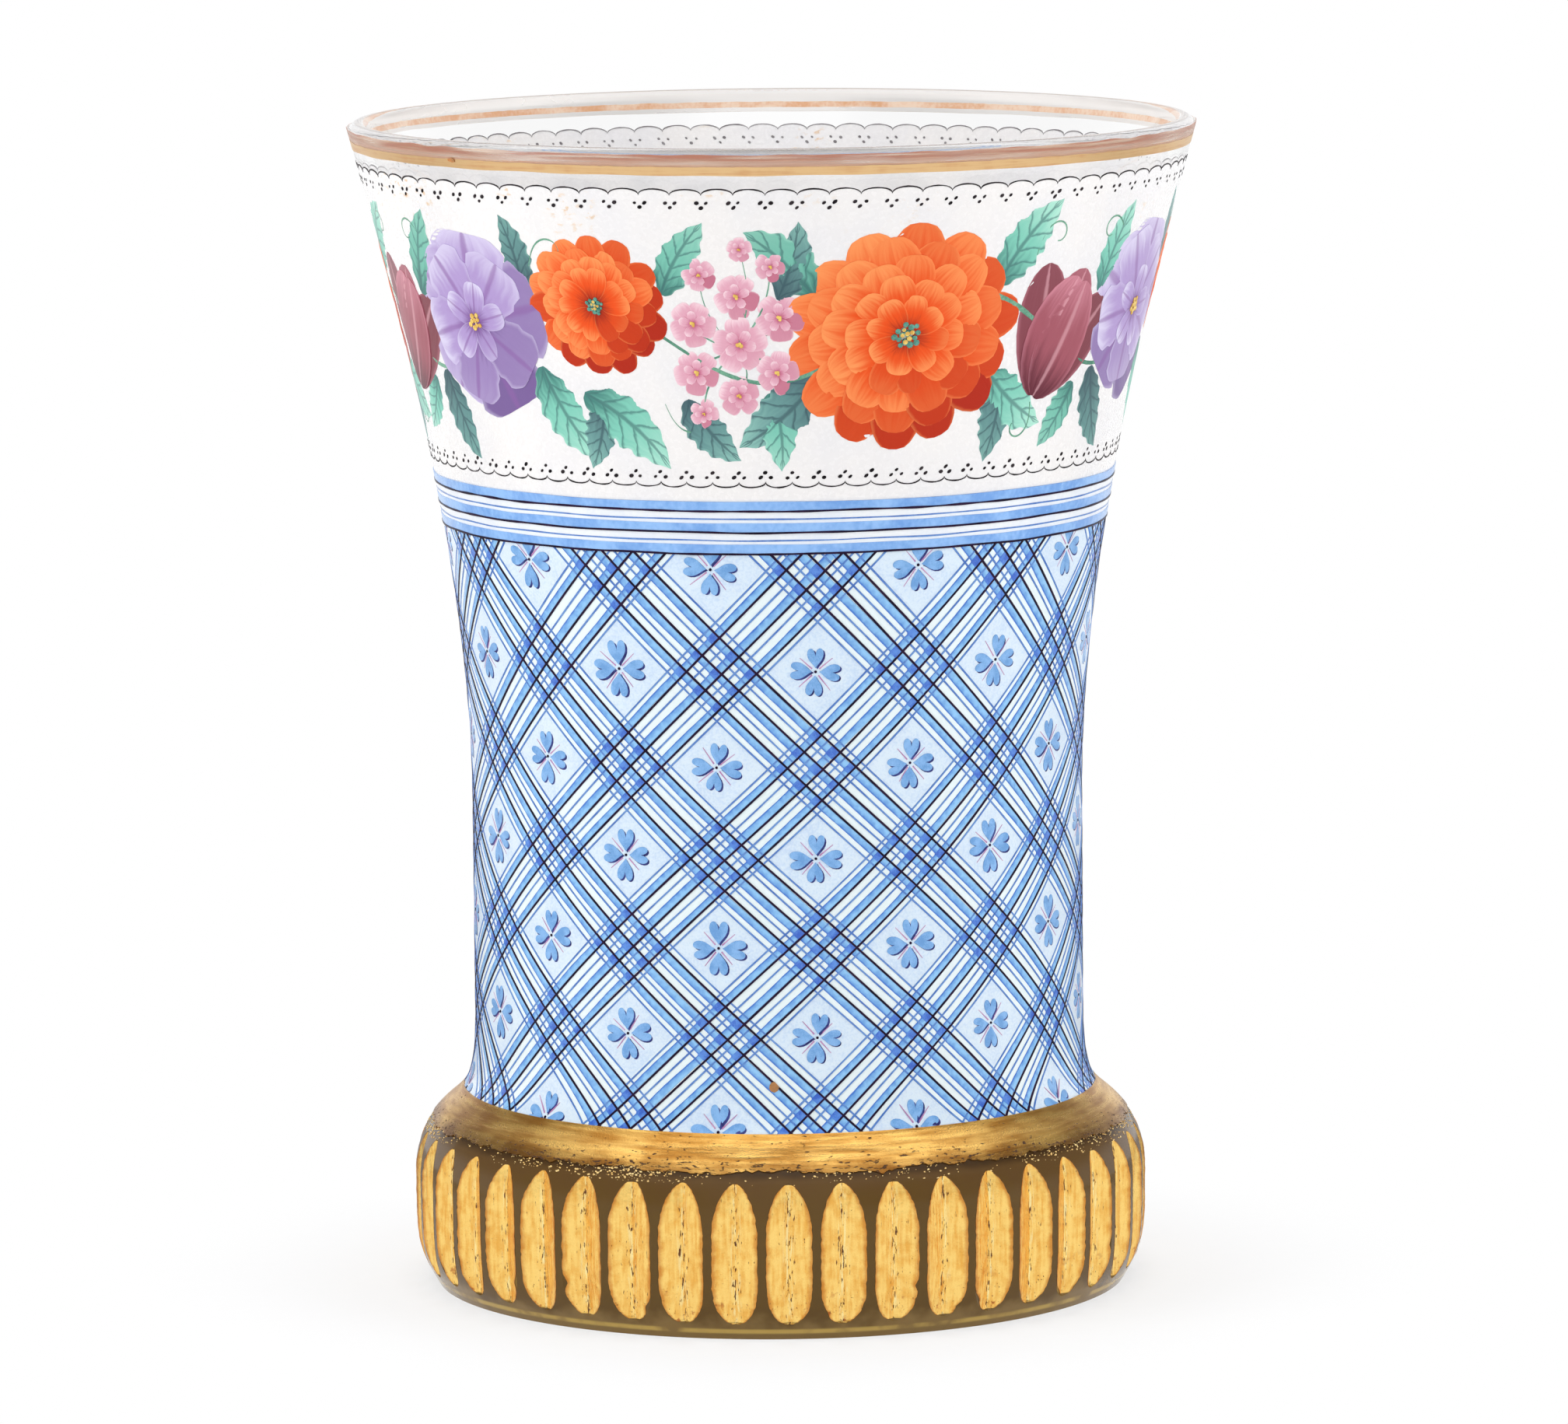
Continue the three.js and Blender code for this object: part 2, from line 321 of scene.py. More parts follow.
@dataclass(frozen=True)
class CutGlass(Finish):
    """Polished glass, clear in the wall, with a smoky amber stain fired on the foot."""

    name: str = "polished_glass"
    clear: Colour = "#ffffff"
    amber: Colour = "#96723e"
    strip: Colour = "#866c3e"
    smoke: Colour = "#624a22"
    # Painted shade under the collar, and a darker painted shadow band at its lower edge.
    painted_collar_shade: Colour = "#604626"
    edge: Colour = "#34220e"
    # Painted highlight: a pale line low on the base, the base edge's light seen through the glass.
    painted_glint: Colour = "#d0b05c"
    lip: Colour = "#b09c90"
    lip_start: Pair = (115.9, 115.95)
    stain_end: Pair = (18.5, 16.5)
    strip_end: Pair = (0.8, 2.8)
    collar_shade_start: Pair = (11.0, 16.5)
    glint_start: Pair = (0.5, 0.75)
    glint_end: Pair = (1.2, 0.95)
    collar_shadow_start: Pair = (15.9, 16.8)
    hiding: float = 0.92

    def dress(self, bench: Bench) -> Tone:
        """Stains the foot with a painted glint and shade, leaves the wall clear, lets lamps through
        both.

        Args:
            bench: Its node tree.

        Returns:
            Its shader.
        """
        height = bench.height()
        mottle = bench.noise(0.3, 3.0)
        level = height + (mottle - 0.5) * 5.0
        stain = height.rise(*self.stain_end)
        film = bench.blend(level.rise(*self.strip_end), self.strip, self.smoke)
        # Painted shade: the stain darkens towards the collar.
        film = bench.blend(level.rise(*self.collar_shade_start), film, self.painted_collar_shade)
        # Painted highlight: a pale line about a millimetre over the table.
        painted_glint = height.rise(*self.glint_start) * height.rise(*self.glint_end)
        painted_glint = painted_glint * mottle.rise(0.3, 0.55) * 0.75
        film = bench.blend(painted_glint, film, self.painted_glint)
        # Painted shadow: the glass goes dark brown from just under the collar's lower edge upwards.
        film = bench.blend((height + mottle * 0.8).rise(*self.collar_shadow_start) * 0.8, film, self.edge)
        tinted = bench.blend(stain, self.clear, self.amber)
        tinted = bench.blend(height.rise(*self.lip_start), tinted, self.lip)
        glass = bench.principled(
            Base_Color=tinted, Roughness=0.015, IOR=1.5, Transmission_Weight=1.0
        )
        stained = bench.principled(
            Base_Color=film, Roughness=0.08 + mottle * 0.1, Specular_IOR_Level=0.15
        )
        seen = bench.mixed(stain * self.hiding, glass, stained)
        passed = bench.node("ShaderNodeBsdfTransparent", None, {0: self.clear})
        return bench.mixed(bench.ray("Shadow", "Diffuse"), seen, passed)


@dataclass(frozen=True)
class FluteGold(Finish):
    """Matte fired gilding in a cut flute, grained down it and cracked along its valley."""

    name: str = "flute_gold"
    bright: Colour = "#ffd67a"
    deep: Colour = "#eeb252"
    valley_highlight: Colour = "#ffeeac"
    shadow: Colour = "#be6e28"
    bare: Colour = "#683c1a"
    rust: Colour = "#ac5424"

    def dress(self, bench: Bench) -> Tone:
        """Streaks the gold along the flute, and wears it through in cracks and specks.

        Args:
            bench: Its node tree.

        Returns:
            Its shader.
        """
        across, up = bench.laid_out()
        aside = abs(across - 0.5) * 2.0
        middle = 1.0 - aside.rise(0.0, 0.4)
        brushed = bench.stretched(1.0, 0.1, 2.8, 3.0)
        cloud = bench.noise(0.9, 3.0)
        grain = bench.noise(6.0, 3.0)
        tone = (brushed * 0.6 + cloud * 0.5 + grain * 0.16).rise(0.5, 0.82)
        gold = bench.blend(tone, self.bright, self.deep)
        # Painted highlight: pale cream streaks down the middle of the cut, along its valley.
        highlight_ridges = bench.stretched(1.0, 0.07, 6.0, 2.0).rise(0.5, 0.64) * middle
        gold = bench.blend(highlight_ridges * 0.85, gold, self.valley_highlight)
        gold = bench.blend((aside + (cloud - 0.5) * 0.2).rise(0.76, 1.0) * 0.7, gold, self.shadow)
        cracks = bench.stretched(1.0, 0.22, 5.5, 4.0)
        pits = bench.noise(4.5, 4.0)
        foot = 1.0 - up.rise(0.0, 0.4)
        wear = (cracks + middle * 0.12).rise(0.69, 0.75)
        wear = wear.most((pits + foot * 0.06).rise(0.72, 0.78))
        rusty = foot * (bench.noise(0.8, 2.0) + pits * 0.3).rise(0.78, 0.9)
        gold = bench.blend(rusty * 0.8, gold, self.rust)
        return bench.principled(
            Base_Color=bench.blend(wear, gold, self.bare),
            Metallic=0.96 - wear * 0.8,
            Roughness=0.2 + brushed * 0.08 + wear * 0.3,
            Normal=bench.relief(brushed + cloud * 1.4 + grain * 0.2 - wear * 0.6, 0.06),
        )


@dataclass(frozen=True)
class CollarGold(Finish):
    """Gilding on the foot's slope, burnished in bands and worn brown towards its lower edge."""

    name: str = "collar_gold"
    bright: Colour = "#f4c46c"
    deep: Colour = "#be8438"
    brown: Colour = "#7e5022"
    bare: Colour = "#4e3016"
    worn_end: Pair = (16.3, 18.6)

    def dress(self, bench: Bench) -> Tone:
        """Draws the gold out round the collar, and lets it go towards the lower edge.

        Args:
            bench: Its node tree.

        Returns:
            Its shader.
        """
        height = bench.height()
        drawn = bench.stretched(0.1, 1.4, 1.6, 4.0)
        cloud = bench.noise(0.16, 3.0)
        grain = bench.noise(7.0, 3.0)
        tone = (drawn * 0.6 + cloud * 0.6 + grain * 0.12).rise(0.5, 0.8)
        gold = bench.blend(tone, self.bright, self.deep)
        low = 1.0 - height.rise(*self.worn_end)
        browned = (low * 0.5 + cloud * 0.8 + drawn * 0.2).rise(0.62, 1.05)
        gold = bench.blend(browned * 0.75, gold, self.brown)
        scratch = bench.stretched(0.45, 1.5, 3.4, 5.0)
        wear = (scratch + low * 0.1).rise(0.66, 0.72)
        return bench.principled(
            Base_Color=bench.blend(wear, gold, self.bare),
            Metallic=0.95 - wear * 0.8,
            Roughness=0.2 + drawn * 0.16 + wear * 0.3,
            Normal=bench.relief(grain * 0.4 + drawn * 1.2 - wear * 0.6, 0.07),
        )


@dataclass(frozen=True)
class RimGold(Finish):
    """The gilt line under the lip, with fine streaks that run round it."""

    name: str = "rim_gold"
    yellow: Colour = "#e6c08c"
    worn: Colour = "#d4a06e"

    def dress(self, bench: Bench) -> Tone:
        """Streaks the gold round the rim.

        Args:
            bench: Its node tree.

        Returns:
            Its shader.
        """
        streak = bench.stretched(0.1, 2.6, 1.8, 4.0)
        cloud = bench.noise(0.5, 3.0)
        thin = (streak * 0.7 + cloud * 0.4).rise(0.5, 0.78)
        return bench.principled(
            Base_Color=bench.blend(thin, self.yellow, self.worn),
            Metallic=0.9 - thin * 0.4,
            Roughness=0.3 + streak * 0.16,
            Normal=bench.relief(streak, 0.02),
        )


@dataclass(frozen=True)
class RubbedGold(Finish):
    """Gilding that use has rubbed to a brown-pink film, with the glass showing through."""

    name: str = "rubbed_gold"
    film: Colour = "#be7e66"
    golden: Colour = "#deb086"
    pink: Colour = "#d8b49c"

    def dress(self, bench: Bench) -> Tone:
        """Lets the film come and go in long streaks, paler towards the gilt line.

        Args:
            bench: Its node tree.

        Returns:
            Its shader.
        """
        streak = bench.stretched(0.07, 3.0, 1.6, 4.0)
        patch = bench.noise(0.06, 2.0)
        film = (streak * 0.8 + patch * 0.5).rise(0.42, 0.86)
        colour = bench.blend(streak.rise(0.4, 0.7), self.film, self.golden)
        low = (bench.laid_out()[1] + (streak - 0.5) * 0.5).rise(0.62, 0.3)
        return bench.principled(
            Base_Color=bench.blend(low * 0.7, colour, self.pink),
            Metallic=0.35,
            Roughness=0.32 + streak * 0.16,
            Alpha=0.94 - film * 0.6,
        )


@dataclass(frozen=True)
class GlassBehind(Finish):
    """The rubbed film's back, which mirrors the white cup and so hardly shows."""

    name: str = "glass_behind"
    pale: Colour = "#fffcf9"

    def dress(self, bench: Bench) -> Tone:
        """Clouds the film a little."""
        streak = bench.stretched(0.1, 1.0, 1.0, 2.0)
        return bench.principled(Base_Color=self.pale, Metallic=0.5, Roughness=0.2 + streak * 0.2)


@dataclass(frozen=True)
class Enamel(Finish):
    """Glossy fired enamel that varies a little in depth of colour."""

    name: str
    thick: Colour
    thin: Colour
    cloud: float = 0.6
    roughness: float = 0.2
    relief: float = 0.01
    shine: float = 1.0

    def dress(self, bench: Bench) -> Tone:
        """Lets the coat pool and thin in soft clouds.

        Args:
            bench: Its node tree.

        Returns:
            Its shader.
        """
        pooled = bench.noise(self.cloud, 3.0)
        grain = bench.noise(self.cloud * 9.0, 2.0)
        depth = (pooled * 0.75 + grain * 0.35).rise(0.38, 0.72)
        return bench.principled(
            Base_Color=bench.blend(depth, self.thick, self.thin),
            Roughness=self.roughness + grain * 0.1,
            Specular_IOR_Level=0.5 * self.shine,
            Coat_Weight=GLAZE["Coat_Weight"] * self.shine,
            Coat_Roughness=GLAZE["Coat_Roughness"],
            Normal=bench.relief(pooled * 0.6 + grain * 0.4, self.relief),
        )


@dataclass(frozen=True)
class FriezeWhite(Finish):
    """The white ground of the frieze, with a few faint brown stains under its upper lace."""

    name: str = "frieze_white"
    white: Colour = "#f0eeed"
    cool: Colour = "#ecebec"
    stain: Colour = "#e2be8c"
    stain_start: Pair = (105.5, 111.0)

    def dress(self, bench: Bench) -> Tone:
        """Clouds the white, and lets stains in where the noise and the height agree.

        Args:
            bench: Its node tree.

        Returns:
            Its shader.
        """
        height = bench.height()
        cloud = bench.noise(0.12, 3.0)
        ground = bench.blend(cloud.rise(0.35, 0.7), self.white, self.cool)
        band = height.rise(*self.stain_start)
        patch = bench.noise(0.1, 1.0).rise(0.56, 0.66)
        specks = bench.stretched(0.8, 1.6, 1.5, 5.0).rise(0.56, 0.72)
        stained = bench.blend(band * patch * specks * 0.8, ground, self.stain)
        grain = bench.noise(2.0, 3.0)
        return bench.principled(
            Base_Color=stained,
            Roughness=0.22 + grain * 0.1,
            Normal=bench.relief(grain, 0.003),
            **GLOW, **GLAZE,
        )


@dataclass(frozen=True)
class TrellisGround(Finish):
    """Pale blue stippled diamonds on a whiter ground, laid out by the lattice's own map."""

    name: str = "trellis_ground"
    diamond: Colour = "#dfebf7"
    speck: Colour = "#cedff2"
    white: Colour = "#e9f3f9"
    band: Pair = (0.255, 0.758)
    soft: float = 0.006

    def dress(self, bench: Bench) -> Tone:
        """Whitens every band of the lattice, and stipples the diamonds between them.

        Args:
            bench: Its node tree.

        Returns:
            Its shader.
        """
        start, end = self.band
        bands = [
            place.part().rise(start - self.soft, start + self.soft)
            * place.part().rise(end + self.soft, end - self.soft)
            for place in bench.laid_out("Lattice")
        ]
        stipple = bench.noise(4.5, 2.0)
        cloud = bench.noise(0.35, 2.0)
        pale = bench.blend((stipple * 0.7 + cloud * 0.4).rise(0.45, 0.75), self.diamond, self.speck)
        return bench.principled(
            Base_Color=bench.blend(bands[0].most(bands[1]), pale, self.white),
            Roughness=0.24 + stipple * 0.12,
            Normal=bench.relief(stipple, 0.014),
            **GLOW, **GLAZE,
        )


@dataclass(frozen=True)
class BlueWash(Finish):
    """A wide transparent blue stroke, dark along its leading edge and paler beyond it."""

    name: str = "blue_wash"
    edge: Colour = "#3874d0"
    near: Colour = "#68a2e0"
    far: Colour = "#8ec6f4"

    def dress(self, bench: Bench) -> Tone:
        """Shades the stroke across its width, and lets the wash vary along it.

        Args:
            bench: Its node tree.

        Returns:
            Its shader.
        """
        across, _ = bench.laid_out()
        flow = bench.noise(1.5, 4.0)
        body = bench.blend((across + (flow - 0.5) * 1.5).rise(0.15, 0.85), self.near, self.far)
        wet = (across + (flow - 0.5) * 0.3).rise(0.3, 0.14)
        return bench.principled(
            Base_Color=bench.blend(wet, body, self.edge),
            Roughness=0.18 + flow * 0.12,
            **GLAZE,
        )


@dataclass(frozen=True)
class PetalPaint(Finish):
    """Brushed enamel on one petal or leaf: deep at its root, with fine strokes along it."""

    name: str
    root: Colour
    body: Colour
    tip: Colour
    root_end: float = 0.5
    tip_start: float = 0.55
    strokes: float = 13.0
    rib: float = 0.0
    vein: Colour | None = None
    veins: float = 0.0

    def dress(self, bench: Bench) -> Tone:
        """Grades the paint from root to tip, over and under each petal's own tone.

        Args:
            bench: Its node tree.

        Returns:
            Its shader.
        """
        across, along = bench.laid_out()
        tone = bench.node("ShaderNodeAttribute", {"attribute_name": "tone"}, output="Fac")
        lines = bench.vector(across * self.strokes, along * 1.6, tone * 37.0)
        brushed = bench.noise(1.0, 2.0, lines)
        sweep = along + (brushed - 0.5) * 0.5
        graded = bench.blend(sweep.rise(0.0, self.root_end), self.root, self.body)
        lit = sweep.rise(self.tip_start, 1.05) * tone.rise(0.15, 0.85)
        graded = bench.blend(lit, graded, self.tip)
        deep = (1.0 - tone).rise(0.35, 1.1) * 0.85
        shaded = bench.blend(deep, graded, self.root, "MULTIPLY")
        side = abs(across - 0.5) * 2.0
        rim = side.rise(0.82, 1.0) * 0.35
        edged = bench.blend(rim, shaded, self.tip)
        rib = (1.0 - side.rise(0.03, 0.14)) * self.rib
        if self.veins:
            beside = (along * self.veins - side * 1.3 + (brushed - 0.5) * 0.3).part()
            rib = rib.most(beside.rise(0.0, 0.1) * beside.rise(0.32, 0.12) * self.rib)
        return bench.principled(
            Base_Color=bench.blend(rib, edged, self.vein or self.tip),
            Roughness=0.3 + brushed * 0.1,
            Specular_IOR_Level=0.22,
            Normal=bench.relief(brushed, 0.02),
        )


OUTLINE_BLACK = Enamel("outline_black", "#160a22", "#2c1636", 0.5, 0.3, shine=0.15)
FINE_BLUE = Enamel("fine_blue", "#3a6cbc", "#6492d2", 0.5)
CROSSED_BLUE = Enamel("crossed_blue", "#285cc4", "#568ee0", 1.2)
STRIPE_BLUE = Enamel("stripe_blue", "#6ca0e4", "#92c0f6", 0.22)
STRIPE_WHITE = Enamel("stripe_white", "#f2f6fa", "#e8eef8", 0.3)
HEART_BLUE = Enamel("heart_blue", "#629ad6", "#86b8ec", 0.9)
HEART_SHADE = Enamel("heart_shade", "#24205a", "#424a8e", 1.5, shine=0.3)
RAY_MAUVE = Enamel("ray_mauve", "#b076aa", "#cca0c4", 0.8, shine=0.5)
LACE_BLACK = Enamel("lace_black", "#0c080c", "#3a3236", 0.35, 0.4, shine=0.15)
LACE_BEHIND = Enamel("lace_behind", "#686266", "#969294", 0.35, 0.4)
STEM_GREEN = Enamel("stem_green", "#3e8068", "#76b092", 0.5)
BOSS_GOLD = Enamel("boss_gold", "#d6a034", "#f6d66e", 2.2)
BOSS_GREEN = Enamel("boss_green", "#347668", "#60a896", 2.2)

ORANGE = PetalPaint("petal_orange", "#ac2600", "#ee500a", "#fe9a58", 0.55, 0.5)
VIOLET = PetalPaint("petal_violet", "#764a92", "#b098ce", "#dad2ee", rib=0.6, vein="#8a5ea2")
MAROON = PetalPaint("petal_maroon", "#622232", "#a25462", "#d08696", rib=0.5, vein="#e2a8b2")
PINK = PetalPaint("petal_pink", "#ca688a", "#e4a8bc", "#fadce4")
LEAF = PetalPaint(
    "leaf_green", "#46847c", "#80ccb8", "#b6ead8", 0.45, 0.4, 9.0, 0.7, "#427070", 6.0
)
LEAF_SHADE = PetalPaint(
    "leaf_shade", "#48666e", "#6a9a98", "#96ccc0", 0.6, 0.5, 9.0, 0.7, "#36525c", 6.0
)
GILT_BEHIND = Enamel("gilt_behind", "#e2a87c", "#f4d8c0", 0.3, 0.3)
BROWNED_GILT = Enamel("browned_gilt", "#ce823a", "#966c3e", 1.1, 0.35)
GILT_FLAKES = Enamel("gilt_flakes", "#fcde98", "#e8b864", 1.4, 0.3)


# Form


def turned(turn: Array, radius: Array, level: Array) -> Array:
    """Points in metres from turns in radians, radii and levels in millimetres."""
    turn, radius, level = np.broadcast_arrays(turn, radius, level)
    return np.stack([radius * np.sin(turn), -radius * np.cos(turn), level], -1) * MM


def paired(first: Numbers, second: Numbers) -> Array:
    """Two numbers, or arrays of them, as pairs."""
    return np.stack(np.broadcast_arrays(first, second), -1)


def circle(sides: int) -> Array:
    """The corners of a flat circle with a radius of 1."""
    turn = np.arange(sides) / sides * math.tau
    return paired(np.cos(turn), np.sin(turn))


def full_turn(columns: int) -> Array:
    """Degrees once round the beaker, with the start again at the end."""
    return np.linspace(0.0, 360.0, columns + 1)


def bezier(points: Sequence[Pair], steps: int) -> Array:
    """Points along a cubic curve.

    Args:
        points: Its four control points.
        steps: How many equal steps it is cut into.

    Returns:
        The points, one a row.
    """
    share = np.linspace(0.0, 1.0, steps + 1)[:, None]
    start, first, second, end = (np.array(point, float) for point in points)
    rest = 1.0 - share
    return (
        rest**3 * start + 3 * rest**2 * share * first + 3 * rest * share**2 * second
        + share**3 * end
    )


@dataclass(frozen=True)
class Outline:
    """The outer form of the glass, turned round its axis, with its wall and cup."""

    height: float = 116.0
    rim_radius: float = 42.1
    waist_radius: float = 30.3
    foot_radius: float = 36.5
    flare_start: float = 48.8
    cove_top: float = 27.3
    slope_height: float = 18.6
    slope_reach: float = 2.1
    bulge_height: float = 11.0
    base_inset: float = 2.1
    lip_wall: float = 2.0
    waist_wall: float = 2.8
    floor_height: float = 17.0
    floor_corner: float = 9.0

    @property
    def lip_start(self) -> float:
        """Where the outer wall turns over into the rounded lip."""
        return self.height - self.lip_wall / 2

    @property
    def base_radius(self) -> float:
        """The radius of the flat that the beaker stands on."""
        return self.foot_radius - self.base_inset

    @cached_property
    def _knots(self) -> Array:
        """Radius, height and lean at close steps up the outline.

        Returns:
            The steps, one a row.
        """
        slope_radius = self.waist_radius + self.slope_reach
        base = (self.base_radius, 0.0)
        bulge = (self.foot_radius, self.bulge_height)
        slope = (slope_radius, self.slope_height)
        cove = (self.waist_radius, self.cove_top)
        flare = (self.waist_radius, self.flare_start)
        rim = (self.rim_radius, self.height)
        curves = [
            [base, (base[0] + 2.1, 3.64), (bulge[0], bulge[1] - 7.3), bulge],
            [bulge, (bulge[0], bulge[1] + 5.0), (slope[0] + 0.71, slope[1] - 0.71), slope],
            [slope, (slope[0] - 0.99, slope[1] + 0.99), (cove[0], cove[1] - 7.0), cove],
            [flare, (flare[0], flare[1] + 27.2), (rim[0] - 2.332, rim[1] - 8.8), rim],
        ]
        points = np.concatenate([bezier(curve, 80) for curve in curves])
        points = points[np.concatenate([[True], np.diff(points[:, 1]) > 1e-6])]
        lean = np.gradient(points[:, 0], points[:, 1])
        return np.column_stack([points, lean])

    def radius(self, height: Numbers) -> Array:
        """The outer radius at a height."""
        return np.interp(height, self._knots[:, 1], self._knots[:, 0])

    def inner_radius(self, height: Numbers) -> Array:
        """The cup's radius at a height over its rounded floor corner.

        Args:
            height: Millimetres over the table.

        Returns:
            The radius, in millimetres.
        """
        corner_top = self.floor_height + self.floor_corner
        wall = np.interp(height, [corner_top, self.lip_start], [self.waist_wall, self.lip_wall])
        return self.radius(height) - wall

    def levels(self, low: float, high: float, most: float, sag: float = 0.004) -> Array:
        """Heights that lie closer together where the outline curves more.

        Args:
            low: The first height.
            high: The last height.
            most: The widest step.
            sag: How far a straight step may cut the curve's corner.

        Returns:
            The heights from low to high.
        """
        heights = np.linspace(low, high, 1200)
        lean = np.interp(heights, self._knots[:, 1], self._knots[:, 2])
        bend = np.abs(np.gradient(lean, heights)) / np.hypot(1.0, lean) ** 3
        step = np.minimum(most, np.sqrt(8.0 * sag / np.maximum(bend, 1e-6)))
        pace = np.concatenate([[0.0], np.cumsum(np.diff(heights) / step[1:])])
        return np.interp(np.linspace(0.0, pace[-1], math.ceil(pace[-1]) + 1), pace, heights)

    def place(self, angle: Numbers, height: Numbers, lift: Numbers = 0.0) -> Array:
        """Points on the outer surface.

        Args:
            angle: Degrees round the axis.
            height: Millimetres over the table.
            lift: Millimetres out of the surface, square to it.

        Returns:
            The points in metres, with one more dimension than what was given.
        """
        turn, level, out = np.broadcast_arrays(
            np.radians(angle), np.asarray(height, float), np.asarray(lift, float)
        )
        lean = np.interp(level, self._knots[:, 1], self._knots[:, 2])
        size = np.hypot(1.0, lean)
        radius = self.radius(level) + out / size
        return turned(turn, radius, level - out * lean / size)


FORM = Outline()


def strip(*edges: tuple[Array, Array, float]) -> Array:
    """The sections of a stroke, from the angle, height and lift of each of its long edges."""
    return np.stack([FORM.place(*edge) for edge in edges], 1)


class Hand:
    """A painter's hand: it strays a little, and in the same way each run."""

    def __init__(self, seed: int) -> None:
        """Starts the hand's own row of random numbers."""
        self.random = np.random.default_rng(seed)

    def near(self, value: float, spread: float) -> float:
        """A value within a spread of the one that was meant."""
        return value + spread * float(self.random.uniform(-1.0, 1.0))

    def stray(self, along: Array, size: float, slow: float, quick: float) -> Array:
        """A smooth wander along a stroke.

        Args:
            along: The places on the stroke.
            size: About how far it wanders at most.
            slow: The fewest waves to a unit of along.
            quick: The most waves to a unit of along.

        Returns:
            The wander at each place.
        """
        total = np.zeros_like(along, dtype=float)
        for _ in range(3):
            rate, phase = self.random.uniform(slow, quick), self.random.uniform(0.0, math.tau)
            total += np.sin(math.tau * rate * along + phase)
        return total * size / 3.0

    def round_trip(self, angle: Array, size: float, most: int) -> Array:
        """A wander round the beaker that meets its own start.

        Args:
            angle: Degrees round the axis.
            size: About how far it wanders at most.
            most: The most waves in one turn.

        Returns:
            The wander at each angle.
        """
        total = np.zeros_like(angle, dtype=float)
        for _ in range(5):
            waves, phase = self.random.integers(2, most), self.random.uniform(0.0, math.tau)
            total += np.sin(np.radians(angle) * waves + phase)
        return total * size / 5.0


